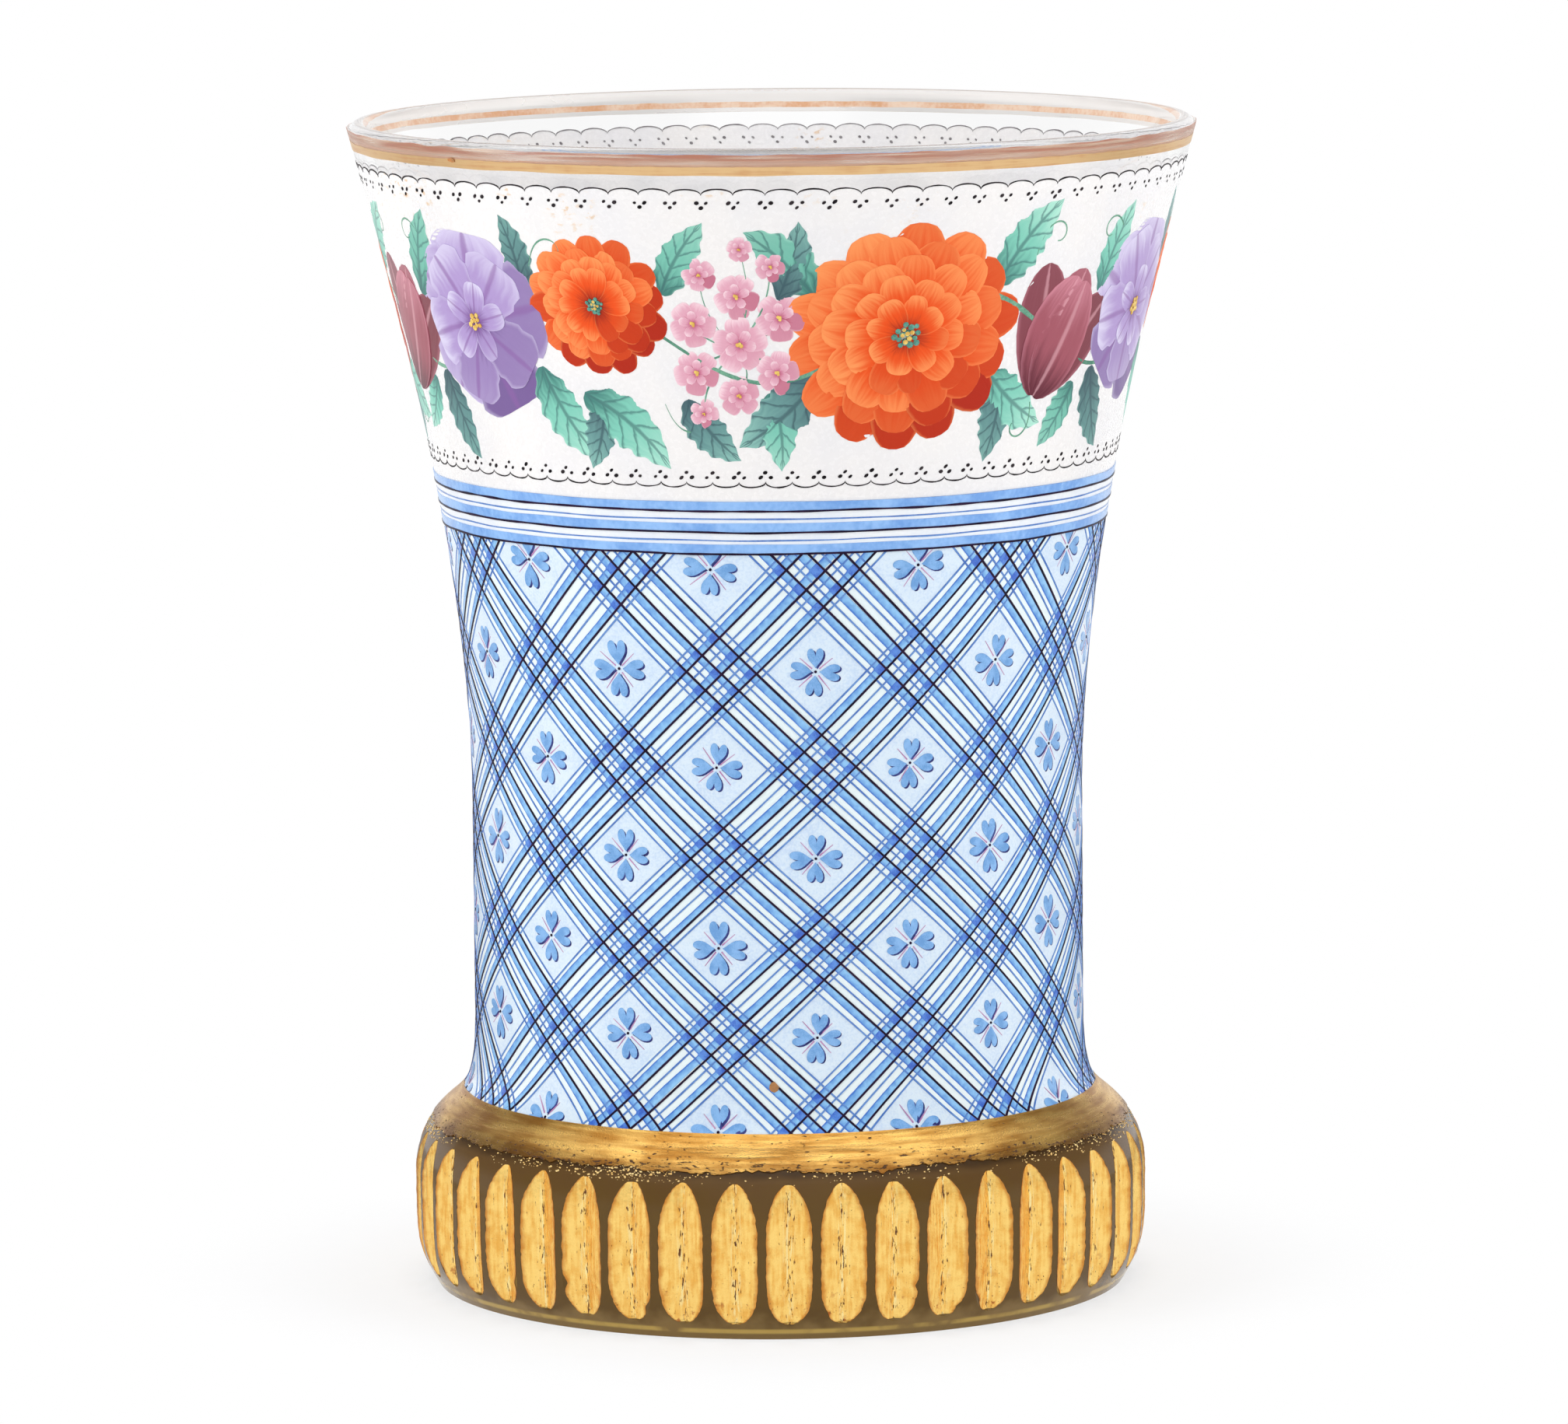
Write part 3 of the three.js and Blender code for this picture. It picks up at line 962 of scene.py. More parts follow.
class Build:
    """Gathers the closed solids of one piece, then makes its object."""

    def __init__(self) -> None:
        """Starts with nothing."""
        self.solids: list[tuple[Array, Array, Array, Array]] = []
        self.faces: list[list[int]] = []
        self.slots: list[int] = []
        self.count = 0

    def solid(
        self, points: Array, uv: Array, quads: Array, caps: Sequence[Sequence[int]] = (),
        tone: float = 0.5, finish: int | list[int] = 0, bake: Array | None = None,
    ) -> None:
        """Adds one closed solid and turns its faces outwards.

        Args:
            points: Its corners, in metres.
            uv: The two numbers of its map at each corner.
            quads: Four corners a row.
            caps: Faces with any number of corners.
            tone: How light its paint is, from 0 to 1.
            finish: The number of its finish, or each face's.
            bake: Its map for kept textures, if it has one.
        """
        middle = points - points.mean(0)
        faces = quads.tolist() + [list(cap) for cap in caps]
        volume = fan_volume(middle, quads)
        for cap in caps:
            volume += fan_volume(middle, np.array([cap]))
        if volume < 0.0:
            faces = [row[::-1] for row in faces]
        self.faces += [[corner + self.count for corner in row] for row in faces]
        self.slots += finish if isinstance(finish, list) else [finish] * len(faces)
        tones, bakes = np.full(len(points), tone), uv if bake is None else bake
        self.solids.append((points, uv, tones, bakes))
        self.count += len(points)

    def slab(self, top: Array, under: Array, uv: Array, tone: float = 0.5, finish: int = 0) -> None:
        """Adds a thin solid from a grid of points and the same grid under it.

        Args:
            top: The upper side, rows by columns by 3.
            under: The lower side.
            uv: The map of the upper side.
            tone: How light its paint is.
            finish: The number of its finish.
        """
        rows, columns = top.shape[:2]
        index = np.arange(rows * columns).reshape(rows, columns)
        border = np.concatenate([index[0, :-1], index[:-1, -1], index[-1, :0:-1], index[:0:-1, 0]])
        after, down = np.roll(border, -1), rows * columns
        quads = np.concatenate([
            grid_quads(index), grid_quads(index)[:, ::-1] + down,
            np.stack([after, border, border + down, after + down], -1),
        ])
        points = np.concatenate([top.reshape(-1, 3), under.reshape(-1, 3)])
        self.solid(points, np.tile(uv.reshape(-1, 2), (2, 1)), quads, (), tone, finish)

    def tube(
        self, sections: Array, uv: Array, closed: bool, finish: int | list[int] = 0,
        bake: Array | None = None,
    ) -> None:
        """Adds a strip or ring from sections that follow each other.

        Args:
            sections: Path steps by section corners by 3.
            uv: The map at each of them.
            closed: Whether the last section meets the first.
            finish: The number of its finish, or each face's.
            bake: Its map for kept textures, if it has one.
        """
        steps, corners = sections.shape[:2]
        index = np.arange(steps * corners).reshape(steps, corners)
        index = np.concatenate([index, index[:, :1]], 1)
        if closed:
            index = np.concatenate([index, index[:1]], 0)
        caps = [] if closed else [index[0, :-1][::-1].tolist(), index[-1, :-1].tolist()]
        kept = None if bake is None else bake.reshape(-1, 2)
        self.solid(
            sections.reshape(-1, 3), uv.reshape(-1, 2), grid_quads(index), caps, 0.5, finish, kept
        )

    def pad(
        self, rim: Array, middle: Array, under: Array, finish: int = 0,
        behind: int | None = None,
    ) -> None:
        """Adds a low domed blot.

        Args:
            rim: Its outline, in metres.
            middle: The top of its dome.
            under: The same outline, sunk into what it lies on.
            finish: The number of its finish.
            behind: The finish of its under side, if that is another one.
        """
        sides = len(rim)
        ring = np.arange(sides)
        after = np.roll(ring, -1)
        fan = [[int(a), int(b), 2 * sides] for a, b in zip(ring, after)]
        skirt = np.stack([after, ring, ring + sides, after + sides], -1)
        points = np.concatenate([rim, under, middle[None]])
        floor = (ring + sides)[::-1].tolist()
        finishes = [finish] * (2 * sides) + [finish if behind is None else behind]
        self.solid(points, np.full((len(points), 2), 0.5), skirt, [*fan, floor], 0.5, finishes)

    def make(
        self, name: str, finishes: Sequence[Finish], slot: str, nodes: Sequence[str] = (),
        weld: bool = False, baked: bool = False, maps: dict[str, Array] | None = None,
    ) -> Object:
        """Makes the piece's object and puts it in the frame.

        Args:
            name: The piece's name.
            finishes: Its finishes, in the order that its faces count them.
            slot: The name of a material slot, passed on to seat.
            nodes: The CAD nodes that it stands for.
            weld: Whether corners at one place become one.
            baked: Whether it has a map of its own for kept textures.
            maps: More UV maps, by name, with a place for each corner.

        Returns:
            The new object.
        """
        points, uvs, tones, bakes = (np.concatenate(rows) for rows in zip(*self.solids))
        mesh = bpy.data.meshes.new(name)
        mesh.from_pydata(points.tolist(), [], self.faces)
        corner = np.zeros(len(mesh.loops), np.int32)
        mesh.loops.foreach_get("vertex_index", corner)
        layers = {"Place": uvs, **(maps or {}), **({"OFBake": bakes} if baked else {})}
        for title, places in layers.items():
            layer = mesh.uv_layers.new(name=title)
            layer.data.foreach_set("uv", places[corner].astype(np.float32).ravel())
        tone = mesh.attributes.new("tone", "FLOAT", "POINT")
        tone.data.foreach_set("value", tones.astype(np.float32))
        mesh.polygons.foreach_set("material_index", np.array(self.slots, np.int32))
        mesh.polygons.foreach_set("use_smooth", np.ones(len(mesh.polygons), bool))
        if weld:
            shape = bmesh.new()
            shape.from_mesh(mesh)
            bmesh.ops.remove_doubles(shape, verts=shape.verts, dist=1e-7)
            shape.to_mesh(mesh)
            shape.free()
        mesh.set_sharp_from_angle(angle=math.radians(CREASE))
        mesh.update()
        return seat(mesh, finishes, slot, nodes)


def fan_volume(points: Array, faces: Array) -> float:
    """Six times the volume between the origin and faces that all have as many corners.

    Args:
        points: All the corners.
        faces: Rows of corner numbers.

    Returns:
        The sum over the faces.
    """
    total = 0.0
    first = points[faces[:, 0]]
    for corner in range(1, faces.shape[1] - 1):
        across = np.cross(points[faces[:, corner]], points[faces[:, corner + 1]])
        total += float((first * across).sum())
    return total


def grid_quads(index: Array) -> Array:
    """The four corners of each cell in a grid of corner numbers."""
    cells = [index[:-1, :-1], index[:-1, 1:], index[1:, 1:], index[1:, :-1]]
    return np.stack(cells, -1).reshape(-1, 4)


def linked(data: bpy.types.ID) -> Object:
    """An object of that data in the scene, under the same name.

    Args:
        data: A mesh, a light or a camera.

    Returns:
        The new object.
    """
    made = bpy.data.objects.new(data.name, data)
    bpy.context.scene.collection.objects.link(made)
    return made


def seat(
    mesh: bpy.types.Mesh, finishes: Sequence[Finish], slot: str, nodes: Sequence[str]
) -> Object:
    """Puts a finished mesh in the frame as a piece.

    Args:
        mesh: The mesh, in metres of the beaker's frame.
        finishes: Its finishes, in order.
        slot: Not used.
        nodes: The CAD nodes that it stands for.

    Returns:
        The new object.
    """
    for finish in finishes:
        mesh.materials.append(finish.material())
    piece = linked(mesh)
    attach(piece, BODY)
    if nodes:
        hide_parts(*nodes)
    return piece


def band(node: str) -> Pair:
    """The lowest and highest height of a coat, as wide as its neighbours leave it."""
    low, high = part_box(node)
    return low.z / MM - COAT_END, high.z / MM + COAT_END


@dataclass(frozen=True)
class Skin:
    """A coat round the beaker between two heights, made as a piece of its own.

    Behind holds the finishes of its inner side, under and over the share split of its height.
    On its map for kept textures the outer side lies low and the inner side over it.
    """

    low: float
    high: float
    lift: float = 0.02
    sunk: float = -0.05
    columns: int = 160
    step: float = 2.0
    behind: tuple[int, int] = (0, 0)
    split: float = 1.0
    outer_share: float = 0.78
    inner_share: float = 0.2

    def make(
        self, name: str, finishes: Sequence[Finish], slot: str, nodes: Sequence[str] = (),
        edges: tuple[Numbers, Numbers] = (0.0, 0.0),
        maps: dict[str, Callable[[Array, Array], Array]] | None = None,
    ) -> Object:
        """Makes the coat.

        Args:
            name: The piece's name.
            finishes: Its finishes, the outer side's first.
            slot: The name of a material slot, passed on to Build.make.
            nodes: The CAD nodes that it stands for.
            edges: How far its lower and its upper edge stray at each column.
            maps: More UV maps, by name, each worked out from angles and heights.

        Returns:
            The new object.
        """
        angle = full_turn(self.columns)
        levels = FORM.levels(self.low, self.high, self.step)
        share = ((levels - self.low) / (self.high - self.low))[:, None]
        low = self.low + np.broadcast_to(edges[0], angle.shape)
        high = self.high + np.broadcast_to(edges[1], angle.shape)
        level = low * (1.0 - share) + high * share
        turn = np.broadcast_to(angle, level.shape)
        across = angle / 360.0

        def wrapped(outer: Array, inner: Array) -> Array:
            """Rows up the outer side, down the inner side and back to the start."""
            return np.concatenate([outer, inner[::-1], outer[:1]])

        sections = wrapped(FORM.place(turn, level, self.lift), FORM.place(turn, level, self.sunk))
        uv = paired(across, share)
        bakes = wrapped(
            paired(across, share * self.outer_share),
            paired(across, 1.0 - self.inner_share + share * self.inner_share),
        )
        index = np.arange(sections.shape[0] * sections.shape[1]).reshape(sections.shape[:2])
        hidden = (share[:-1, 0] + share[1:, 0])[::-1] / 2 > self.split
        sides = [0] * len(levels) + [self.behind[int(above)] for above in hidden] + [0]
        build = Build()
        build.solid(
            sections.reshape(-1, 3), wrapped(uv, uv).reshape(-1, 2), grid_quads(index),
            finish=[side for side in sides for _ in range(self.columns)],
            bake=bakes.reshape(-1, 2),
        )
        turns, heights = wrapped(turn, turn).ravel(), wrapped(level, level).ravel()
        more = {title: laid(turns, heights) for title, laid in (maps or {}).items()}
        return build.make(name, finishes, slot, nodes, weld=True, baked=True, maps=more)


@dataclass(frozen=True)
class Spot:
    """Where a motif lies on the beaker, and how it is turned, sized, seen and cut off."""

    angle: float
    height: float
    turn: float = 0.0
    size: float = 1.0
    squash: float = 1.0
    top: float = math.inf

    def lay(self, flat: Array, lift: Numbers) -> Array:
        """Lays flat points on the beaker round this spot.

        Args:
            flat: Places across and up from the spot.
            lift: Millimetres out of the surface.

        Returns:
            The points, in metres.
        """
        turn = math.radians(self.turn)
        x, y = flat[..., 0] * self.size, flat[..., 1] * self.size * self.squash
        right = x * math.cos(turn) + y * math.sin(turn)
        up = -x * math.sin(turn) + y * math.cos(turn)
        level = np.minimum(self.height + up, self.top)
        reach = float(FORM.radius(self.height))
        return FORM.place(self.angle + np.degrees(right / reach), level, lift)

    def blot(
        self, build: Build, rim: Array, lifts: Triple,
        middle: Sequence[float] = (0.0, 0.0), finish: int = 0,
    ) -> None:
        """Adds a low domed blot round this spot.

        Args:
            build: Its piece.
            rim: Its flat outline.
            lifts: How far its rim, the top of its dome and its under side stand out.
            middle: Where the top of its dome lies.
            finish: The number of its finish.
        """
        edge, top, under = lifts
        dome = self.lay(np.array(middle), top)
        build.pad(self.lay(rim, edge), dome, self.lay(rim, under), finish)


# Glass


def round_cuts(middles: Array, edge: float, pitch: float) -> tuple[Array, Array]:
    """Lays six angles to each cut: its middle, its edges, halfway to them and between two cuts.

    Args:
        middles: The angle of each cut's middle.
        edge: Degrees from a cut's middle to its edge.
        pitch: Degrees from one cut to the next.

    Returns:
        The angles round the axis, and how far each lies from a middle.
    """
    offsets = np.array([0.0, edge / 2, edge, pitch / 2, -edge, -edge / 2])
    shifts = np.array([0.0, 0.0, 0.0, 0.0, pitch, pitch])
    return (middles[:, None] + offsets + shifts).ravel(), np.tile(offsets, len(middles))


@dataclass(frozen=True)
class Flutes:
    """Mitre cuts round the foot, each a V that is full in the middle and drawn in at its ends."""

    count: int = 43
    width: float = 4.6
    depth: float = 1.05
    low: float = 1.6
    high: float = 15.5
    first_angle: float = 1.24

    @property
    def pitch(self) -> float:
        """Degrees from one cut to the next."""
        return 360.0 / self.count

    @cached_property
    def pull(self) -> float:
        """How much a cut's side comes in for each millimetre that it goes sideways."""
        half = self.width / 2 / FORM.foot_radius
        return (math.cos(half) - 1.0 + self.depth / FORM.foot_radius) / math.sin(half)

    def fullness(self, height: Array) -> Array:
        """The share of its full depth that a cut has at a height.

        Args:
            height: Millimetres over the table.

        Returns:
            The share, from 0 to 1.
        """
        middle = 2.0 * (height - self.low) / (self.high - self.low) - 1.0
        foot = 1.0 - np.clip((-middle - 0.42) / 0.58, 0.0, 1.0) ** 2.2
        top = 1.0 - np.clip((middle - 0.3) / 0.7, 0.0, 1.0) ** 1.8
        return foot**0.5 * top**0.6

    def valley(self, height: Array) -> Array:
        """The radius of each cut's deepest line at a height."""
        return FORM.radius(height) - self.depth * self.fullness(height)

    def edge(self, height: Array) -> Array:
        """Degrees from a cut's valley to its edge at a height.

        Args:
            height: Millimetres over the table.

        Returns:
            The degrees, 0 where there is no cut.
        """
        share = np.clip(self.valley(height) / FORM.radius(height), 0.0, 1.0)
        turn = np.arccos(share / math.hypot(1.0, self.pull)) - math.atan(self.pull)
        return np.degrees(np.maximum(turn, 0.0))

    def radius(self, offset: Array, height: Array) -> Array:
        """The foot's radius at an angle from the nearest valley, cut or not.

        Args:
            offset: Degrees from a cut's middle.
            height: Millimetres over the table.

        Returns:
            The radius, in millimetres.
        """
        turn = np.abs(np.radians(offset))
        cut = self.valley(height) / (np.cos(turn) - self.pull * np.sin(turn))
        return np.minimum(FORM.radius(height), cut)

    @cached_property
    def angles(self) -> Array:
        """The angle of each cut's valley."""
        return self.first_angle + np.arange(self.count) * self.pitch


@dataclass(frozen=True)
class StarCut:
    """A star of tapering grooves in the middle of the underside."""

    radius: float = 27.0
    notch: float = 8.0
    depth: float = 1.2
    rays: int = 24

    @property
    def pitch(self) -> float:
        """Degrees from one ray to the next."""
        return 360.0 / self.rays

    @cached_property
    def side(self) -> float:
        """How fast a ray's groove closes sideways.

        Returns:
            The share of its depth that is lost with each millimetre.
        """
        half = math.radians(self.pitch / 2)
        reach = 1.0 - self.notch * math.cos(half) / self.radius
        return reach / (self.notch * math.sin(half))

    def edge(self, radius: float) -> float:
        """Degrees from a ray's middle to its edge at a radius.

        Args:
            radius: Millimetres from the axis.

        Returns:
            The degrees, 0 beyond the ray's end.
        """
        if radius <= self.notch:
            return self.pitch / 2
        along = 1.0 / self.radius
        tilt = math.atan2(self.side, along)
        reach = math.acos(min(1.0, 1.0 / (radius * math.hypot(along, self.side))))
        return max(0.0, math.degrees(tilt - reach))

    def depth_at(self, offset: Array, radius: float) -> Array:
        """How deep the groove is at an angle from a ray's middle.

        Args:
            offset: Degrees from a ray's middle.
            radius: Millimetres from the axis.

        Returns:
            The depth, in millimetres.
        """
        turn = np.abs(np.radians(offset))
        across = radius * np.cos(turn) / self.radius + radius * np.sin(turn) * self.side
        return np.maximum(0.0, self.depth * (1.0 - across))


@dataclass
class Glass:
    """The whole glass body: cut foot, wall, rounded lip, cup and star cut."""

    flutes: Flutes
    star: StarCut = field(default_factory=StarCut)
    lens_rows: int = 34
    flat_reach: float = 0.3
    flat_width: float = 3.5
    point_reach: float = 0.9
    least_spread: float = 0.04
    least_ray: float = 0.05
    lip_steps: int = 12
    cup_steps: int = 39
    corner_steps: int = 10
    floor_radii: Pair = (0.66, 0.33)
    floor_middle: float = 0.6
    star_middle: float = 0.5
    crease: float = 18.0

    def _columns(self, height: float) -> tuple[Array, Array]:
        """Angles round the foot that follow the cuts' edges, and their offsets from a valley.

        Args:
            height: Millimetres over the table.

        Returns:
            The angles and the offsets, in degrees.
        """
        pitch, low, high = self.flutes.pitch, self.flutes.low, self.flutes.high
        beyond = max(low - height, height - high, 0.0)
        edge = 0.0 if beyond else float(self.flutes.edge(np.array(height)))
        beside = min(pitch * 0.3, self.least_spread + self.point_reach * beyond)
        return round_cuts(self.flutes.angles, max(edge, beside), pitch)

    def _wall(self) -> Array:
        """Rings of points from inside the resting ring, up the outside and down into the cup.

        Returns:
            Rings by corners by 3, in metres.
        """
        shape, low, high = FORM, self.flutes.low, self.flutes.high
        swing = (1.0 - np.cos(np.linspace(0.0, math.pi, self.lens_rows))) / 2
        heights = np.concatenate([
            np.linspace(0.0, low, 4)[:-1],
            low + (high - low) * swing,
            shape.levels(high, shape.lip_start, 3.0)[1:],
        ])
        angles, _ = self._columns(0.0)
        rings = [
            turned(np.radians(angles), self.star.radius + reach, 0.0)
            for reach in (self.flat_reach, self.flat_width)
        ]
        for height in heights:
            angles, offsets = self._columns(float(height))
            cut = self.flutes.radius(offsets, np.full_like(offsets, height))
            radius = cut if height < shape.slope_height else shape.radius(height)
            rings.append(turned(np.radians(angles), radius, height))
        lip, rounding = shape.lip_wall / 2, shape.floor_corner
        middle = float(shape.radius(shape.lip_start)) - lip
        corner_top = shape.floor_height + rounding
        corner = float(shape.inner_radius(corner_top)) - rounding
        inside = [
            (middle + lip * math.cos(turn), shape.lip_start + lip * math.sin(turn))
            for turn in np.linspace(0.0, math.pi, self.lip_steps + 1)[1:]
        ]
        inside += [
            (shape.inner_radius(height), height)
            for height in np.linspace(shape.lip_start, corner_top, self.cup_steps + 1)[1:]
        ]
        inside += [
            (corner + rounding * math.cos(turn), corner_top - rounding * math.sin(turn))
            for turn in np.linspace(0.0, math.pi / 2, self.corner_steps + 1)[1:]
        ]
        inside += [(corner * share, shape.floor_height) for share in self.floor_radii]
        inside.append((self.floor_middle, shape.floor_height))
        rings += [turned(np.radians(angles), radius, level) for radius, level in inside]
        return np.stack(rings)

    def _star_rings(self) -> Array:
        """Rings of points over the star cut, from its middle outwards.

        Returns:
            Rings by corners by 3, in metres.
        """
        star = self.star
        radii = np.concatenate([
            np.linspace(self.star_middle, star.notch, 5),
            np.linspace(star.notch, star.radius, 9)[1:],
        ])
        rings = []
        for radius in radii:
            edge = min(max(star.edge(float(radius)), self.least_ray), star.pitch / 2 * 0.98)
            angles, offsets = round_cuts(np.arange(star.rays) * star.pitch, edge, star.pitch)
            depth = star.depth_at(offsets, float(radius))
            rings.append(turned(np.radians(angles), radius, depth))
        return np.stack(rings)

    def make(self) -> Iterator[Object]:
        """Joins the wall's rings and the star's into one closed body.

        Returns:
            The body, as the only piece.
        """
        shape = bmesh.new()
        loops = []
        for rings in (self._wall(), self._star_rings()):
            rows = [[shape.verts.new(point) for point in ring] for ring in rings]
            for near, far in zip(rows, rows[1:]):
                for place in range(len(near)):
                    after = (place + 1) % len(near)
                    shape.faces.new([near[place], near[after], far[after], far[place]])
            loops.append(rows)
        (ring, *_, cup), (star, *_, around) = loops
        shape.faces.new(cup)
        shape.faces.new(star)
        edges = [
            shape.edges.get((row[place - 1], row[place]))
            for row in (ring, around) for place in range(len(row))
        ]
        bmesh.ops.bridge_loops(shape, edges=edges)
        bmesh.ops.recalc_face_normals(shape, faces=shape.faces)
        for face in shape.faces:
            face.smooth = True
        mesh = bpy.data.meshes.new("beaker_glass")
        shape.to_mesh(mesh)
        shape.free()
        mesh.set_sharp_from_angle(angle=math.radians(self.crease))
        yield seat(mesh, [CutGlass()], "cut_glass", ["glass_beaker"])


# Gilding


@dataclass
class FluteGilding:
    """One patch of gilding in each cut, as wide as the cut is, with ragged edges."""

    flutes: Flutes
    hand: Hand
    thickness: float = 0.03
    inset: float = 0.05
    ragged: float = 0.05
    low_gap: Pair = (0.12, 0.1)
    high_gap: Pair = (0.16, 0.14)
    chip_depth: float = 0.7
    chip_length: float = 0.035
    uneven: float = 0.5
    rows: int = 60
    columns: tuple[float, ...] = (-1.0, -0.6, -0.28, 0.0, 0.28, 0.6, 1.0)

    def _patch(self, index: int) -> Object:
        """Makes the patch in one cut.

        Args:
            index: The cut's number, from 0.

        Returns:
            The new object.
        """
        low = self.flutes.low + self.hand.near(*self.low_gap)
        high = self.flutes.high - self.hand.near(*self.high_gap)
        share = (1.0 - np.cos(np.linspace(0.05, math.pi - 0.05, self.rows))) / 2
        height = low + (high - low) * share
        reach = FORM.radius(height)
        across = np.array(self.columns)
        sides = []
        for _ in range(2):
            edge = np.radians(self.flutes.edge(height)) * reach - self.inset
            edge += np.minimum(self.hand.stray(share * 15.0, self.ragged, 0.12, 0.9), self.inset)
            edge -= self.ragged * 1.5 * self.hand.random.random(self.rows) ** 3
            chip, depth = self.hand.random.random(2)
            away = (share - 0.02 - 0.3 * chip) / self.chip_length
            edge -= self.chip_depth * depth**5 * np.exp(-(away**2))
            sides.append(np.maximum(edge, 0.05)[:, None])
        left, right = sides
        sideways = np.where(across < 0, across * left, across * right)
        offset = np.degrees(sideways / reach[:, None])
        level = np.broadcast_to(height[:, None], offset.shape)
        radius = self.flutes.radius(offset, level)
        turn = np.radians(self.flutes.angles[index] + offset)
        swell = self.thickness * (1.0 + self.uneven * self.hand.random.random(offset.shape))
        top = turned(turn, radius + swell, level)
        under = turned(turn, radius - self.thickness, level)
        build = Build()
        build.slab(top, under, paired((across + 1.0) / 2, share[:, None]))
        name = f"{index + 1:02d}"
        finishes, nodes = [FluteGold()], [f"flute_gilding_{name}"]
        return build.make(f"flute_gold_{name}", finishes, "matte_gilding", nodes)

    def make(self) -> Iterator[Object]:
        """Makes the patches of all the cuts."""
        yield from map(self._patch, range(self.flutes.count))


@dataclass
class CollarGilding:
    """The gilt ring on the foot's slope, and the flakes that are left under it."""

    hand: Hand
    lift: float = 0.12
    ragged: float = 0.28
    flakes: int = 2200
    least_flake: float = 0.025
    flake_growth: float = 0.08
    flake_sides: int = 6
    clusters: int = 34
    cluster_spread: float = 5.5
    flake_reach: float = 1.35
    flake_lifts: Triple = (0.03, 0.05, -0.03)

    def make(self) -> Iterator[Object]:
        """Makes the ring and its flakes.

        Returns:
            The pieces, one by one.
        """
        node = "foot_collar_gilding"
        low, high = band(node)
        columns = 720
        edge = self.hand.round_trip(full_turn(columns), self.ragged, 60)
        edge += self.hand.round_trip(full_turn(columns), self.ragged * 0.8, 260)
        skin = Skin(low, high + 0.05, self.lift, columns=columns, step=0.4)
        yield skin.make("collar_gold", [CollarGold()], "matte_gilding", [node], (edge, 0.0))
        yield self._flakes(low)

    def _flakes(self, edge: float) -> Object:
        """Scatters flakes of gold under the ring, fewer with every bit further down.

        Args:
            edge: The height of the ring's lower edge.

        Returns:
            The new object.
        """
        build = Build()
        random = self.hand.random
        clusters = random.uniform(0.0, 360.0, self.clusters)
        across, up = circle(self.flake_sides).T
        for _ in range(self.flakes):
            cluster = clusters[random.integers(0, len(clusters))]
            middle = cluster + random.normal(0.0, self.cluster_spread)
            height = edge + 0.25 - self.flake_reach * random.random() ** 2.2
            size = self.least_flake + self.flake_growth * random.random() ** 2
            wide = size * random.uniform(0.6, 1.3, self.flake_sides)
            rim = paired(wide * 1.5 * across, wide * up * 0.8)
            Spot(middle, height).blot(build, rim, self.flake_lifts)
        return build.make("collar_flakes", [GILT_FLAKES], "matte_gilding")


@dataclass
class RimGilding:
    """The gilt line under the lip, and its rubbed upper half that lets the glass show."""

    hand: Hand
    full: float = 0.85
    rubbed: float = 1.15
    columns: int = 360

    def make(self) -> Iterator[Object]:
        """Makes the line and the rubbed band over it.

        Returns:
            The pieces, one by one.
        """
        low, _ = band("rim_gilding")
        top = low + self.full
        angle = full_turn(self.columns)
        lower = self.hand.round_trip(angle, 0.06, 30)
        seam = self.hand.round_trip(angle, 0.05, 60) + self.hand.round_trip(angle, 0.04, 200)
        upper = self.hand.round_trip(angle, 0.1, 60)
        gold = Skin(low, top, 0.03, behind=(2, 1), split=0.5)
        film = Skin(top, top + self.rubbed, behind=(1, 2), split=0.1)
        for name, skin, front, nodes, edges in (
            ("rim_gold", gold, RimGold(), ["rim_gilding"], (lower, seam)),
            ("rim_rubbed", film, RubbedGold(), [], (seam, upper)),
        ):
            fine_skin = replace(skin, columns=self.columns, step=0.17)
            finishes = [front, GILT_BEHIND, GlassBehind()]
            yield fine_skin.make(name, finishes, "worn_gilding", nodes, edges)


@dataclass
class StrayGilding:
    """Two small browned blots of gilding, one low on the trellis and one at the gilt line.

    Each blot has an angle and a height, and how far it reaches sideways and up.
    """

    hand: Hand
    blots: tuple[tuple[float, float, float, float], ...] = (
        (-1.1, 24.1, 0.5, 0.55), (-47.4, 114.2, 0.52, 0.24),
    )
    lifts: Triple = (0.11, 0.14, -0.03)

    def make(self) -> Iterator[Object]:
        """Makes both blots as one piece.

        Returns:
            The piece.
        """
        build = Build()
        sides = 9
        across, up = circle(sides).T
        for angle, height, wide, tall in self.blots:
            size = self.hand.random.uniform(0.75, 1.15, sides)
            rim = paired(size * wide * across, size * tall * up)
            Spot(angle, height).blot(build, rim, self.lifts)
        yield build.make("stray_gilding", [BROWNED_GILT], "worn_gilding")


# Trellis


class Slant(Enum):
    """Which way a stroke of the trellis runs, as the viewer sees it."""

    FALLING = 1
    RISING = -1


class Stroke(Enum):
    """A kind of stroke, with the lift of its paint."""

    WASH = 0.05
    FINE = 0.078
    OUTLINE = 0.098


@dataclass(frozen=True)
class Stripe:
    """One stroke of a band: its kind, and its two edges as shares of the lattice's pitch."""

    kind: Stroke
    start: float
    end: float


FINE_WIDTH = 0.0155
OUTLINE_WIDTH = 0.0185


def fine(middle: float) -> Stripe:
    """A fine blue line at a share of the pitch."""
    return Stripe(Stroke.FINE, middle - FINE_WIDTH / 2, middle + FINE_WIDTH / 2)


def washed(start: float, line: float) -> tuple[Stripe, Stripe]:
    """A blue wash from its leading edge to the black line that closes it, and that line."""
    black = Stripe(Stroke.OUTLINE, line - OUTLINE_WIDTH / 2, line + OUTLINE_WIDTH / 2)
    return Stripe(Stroke.WASH, start, line - 0.002), black


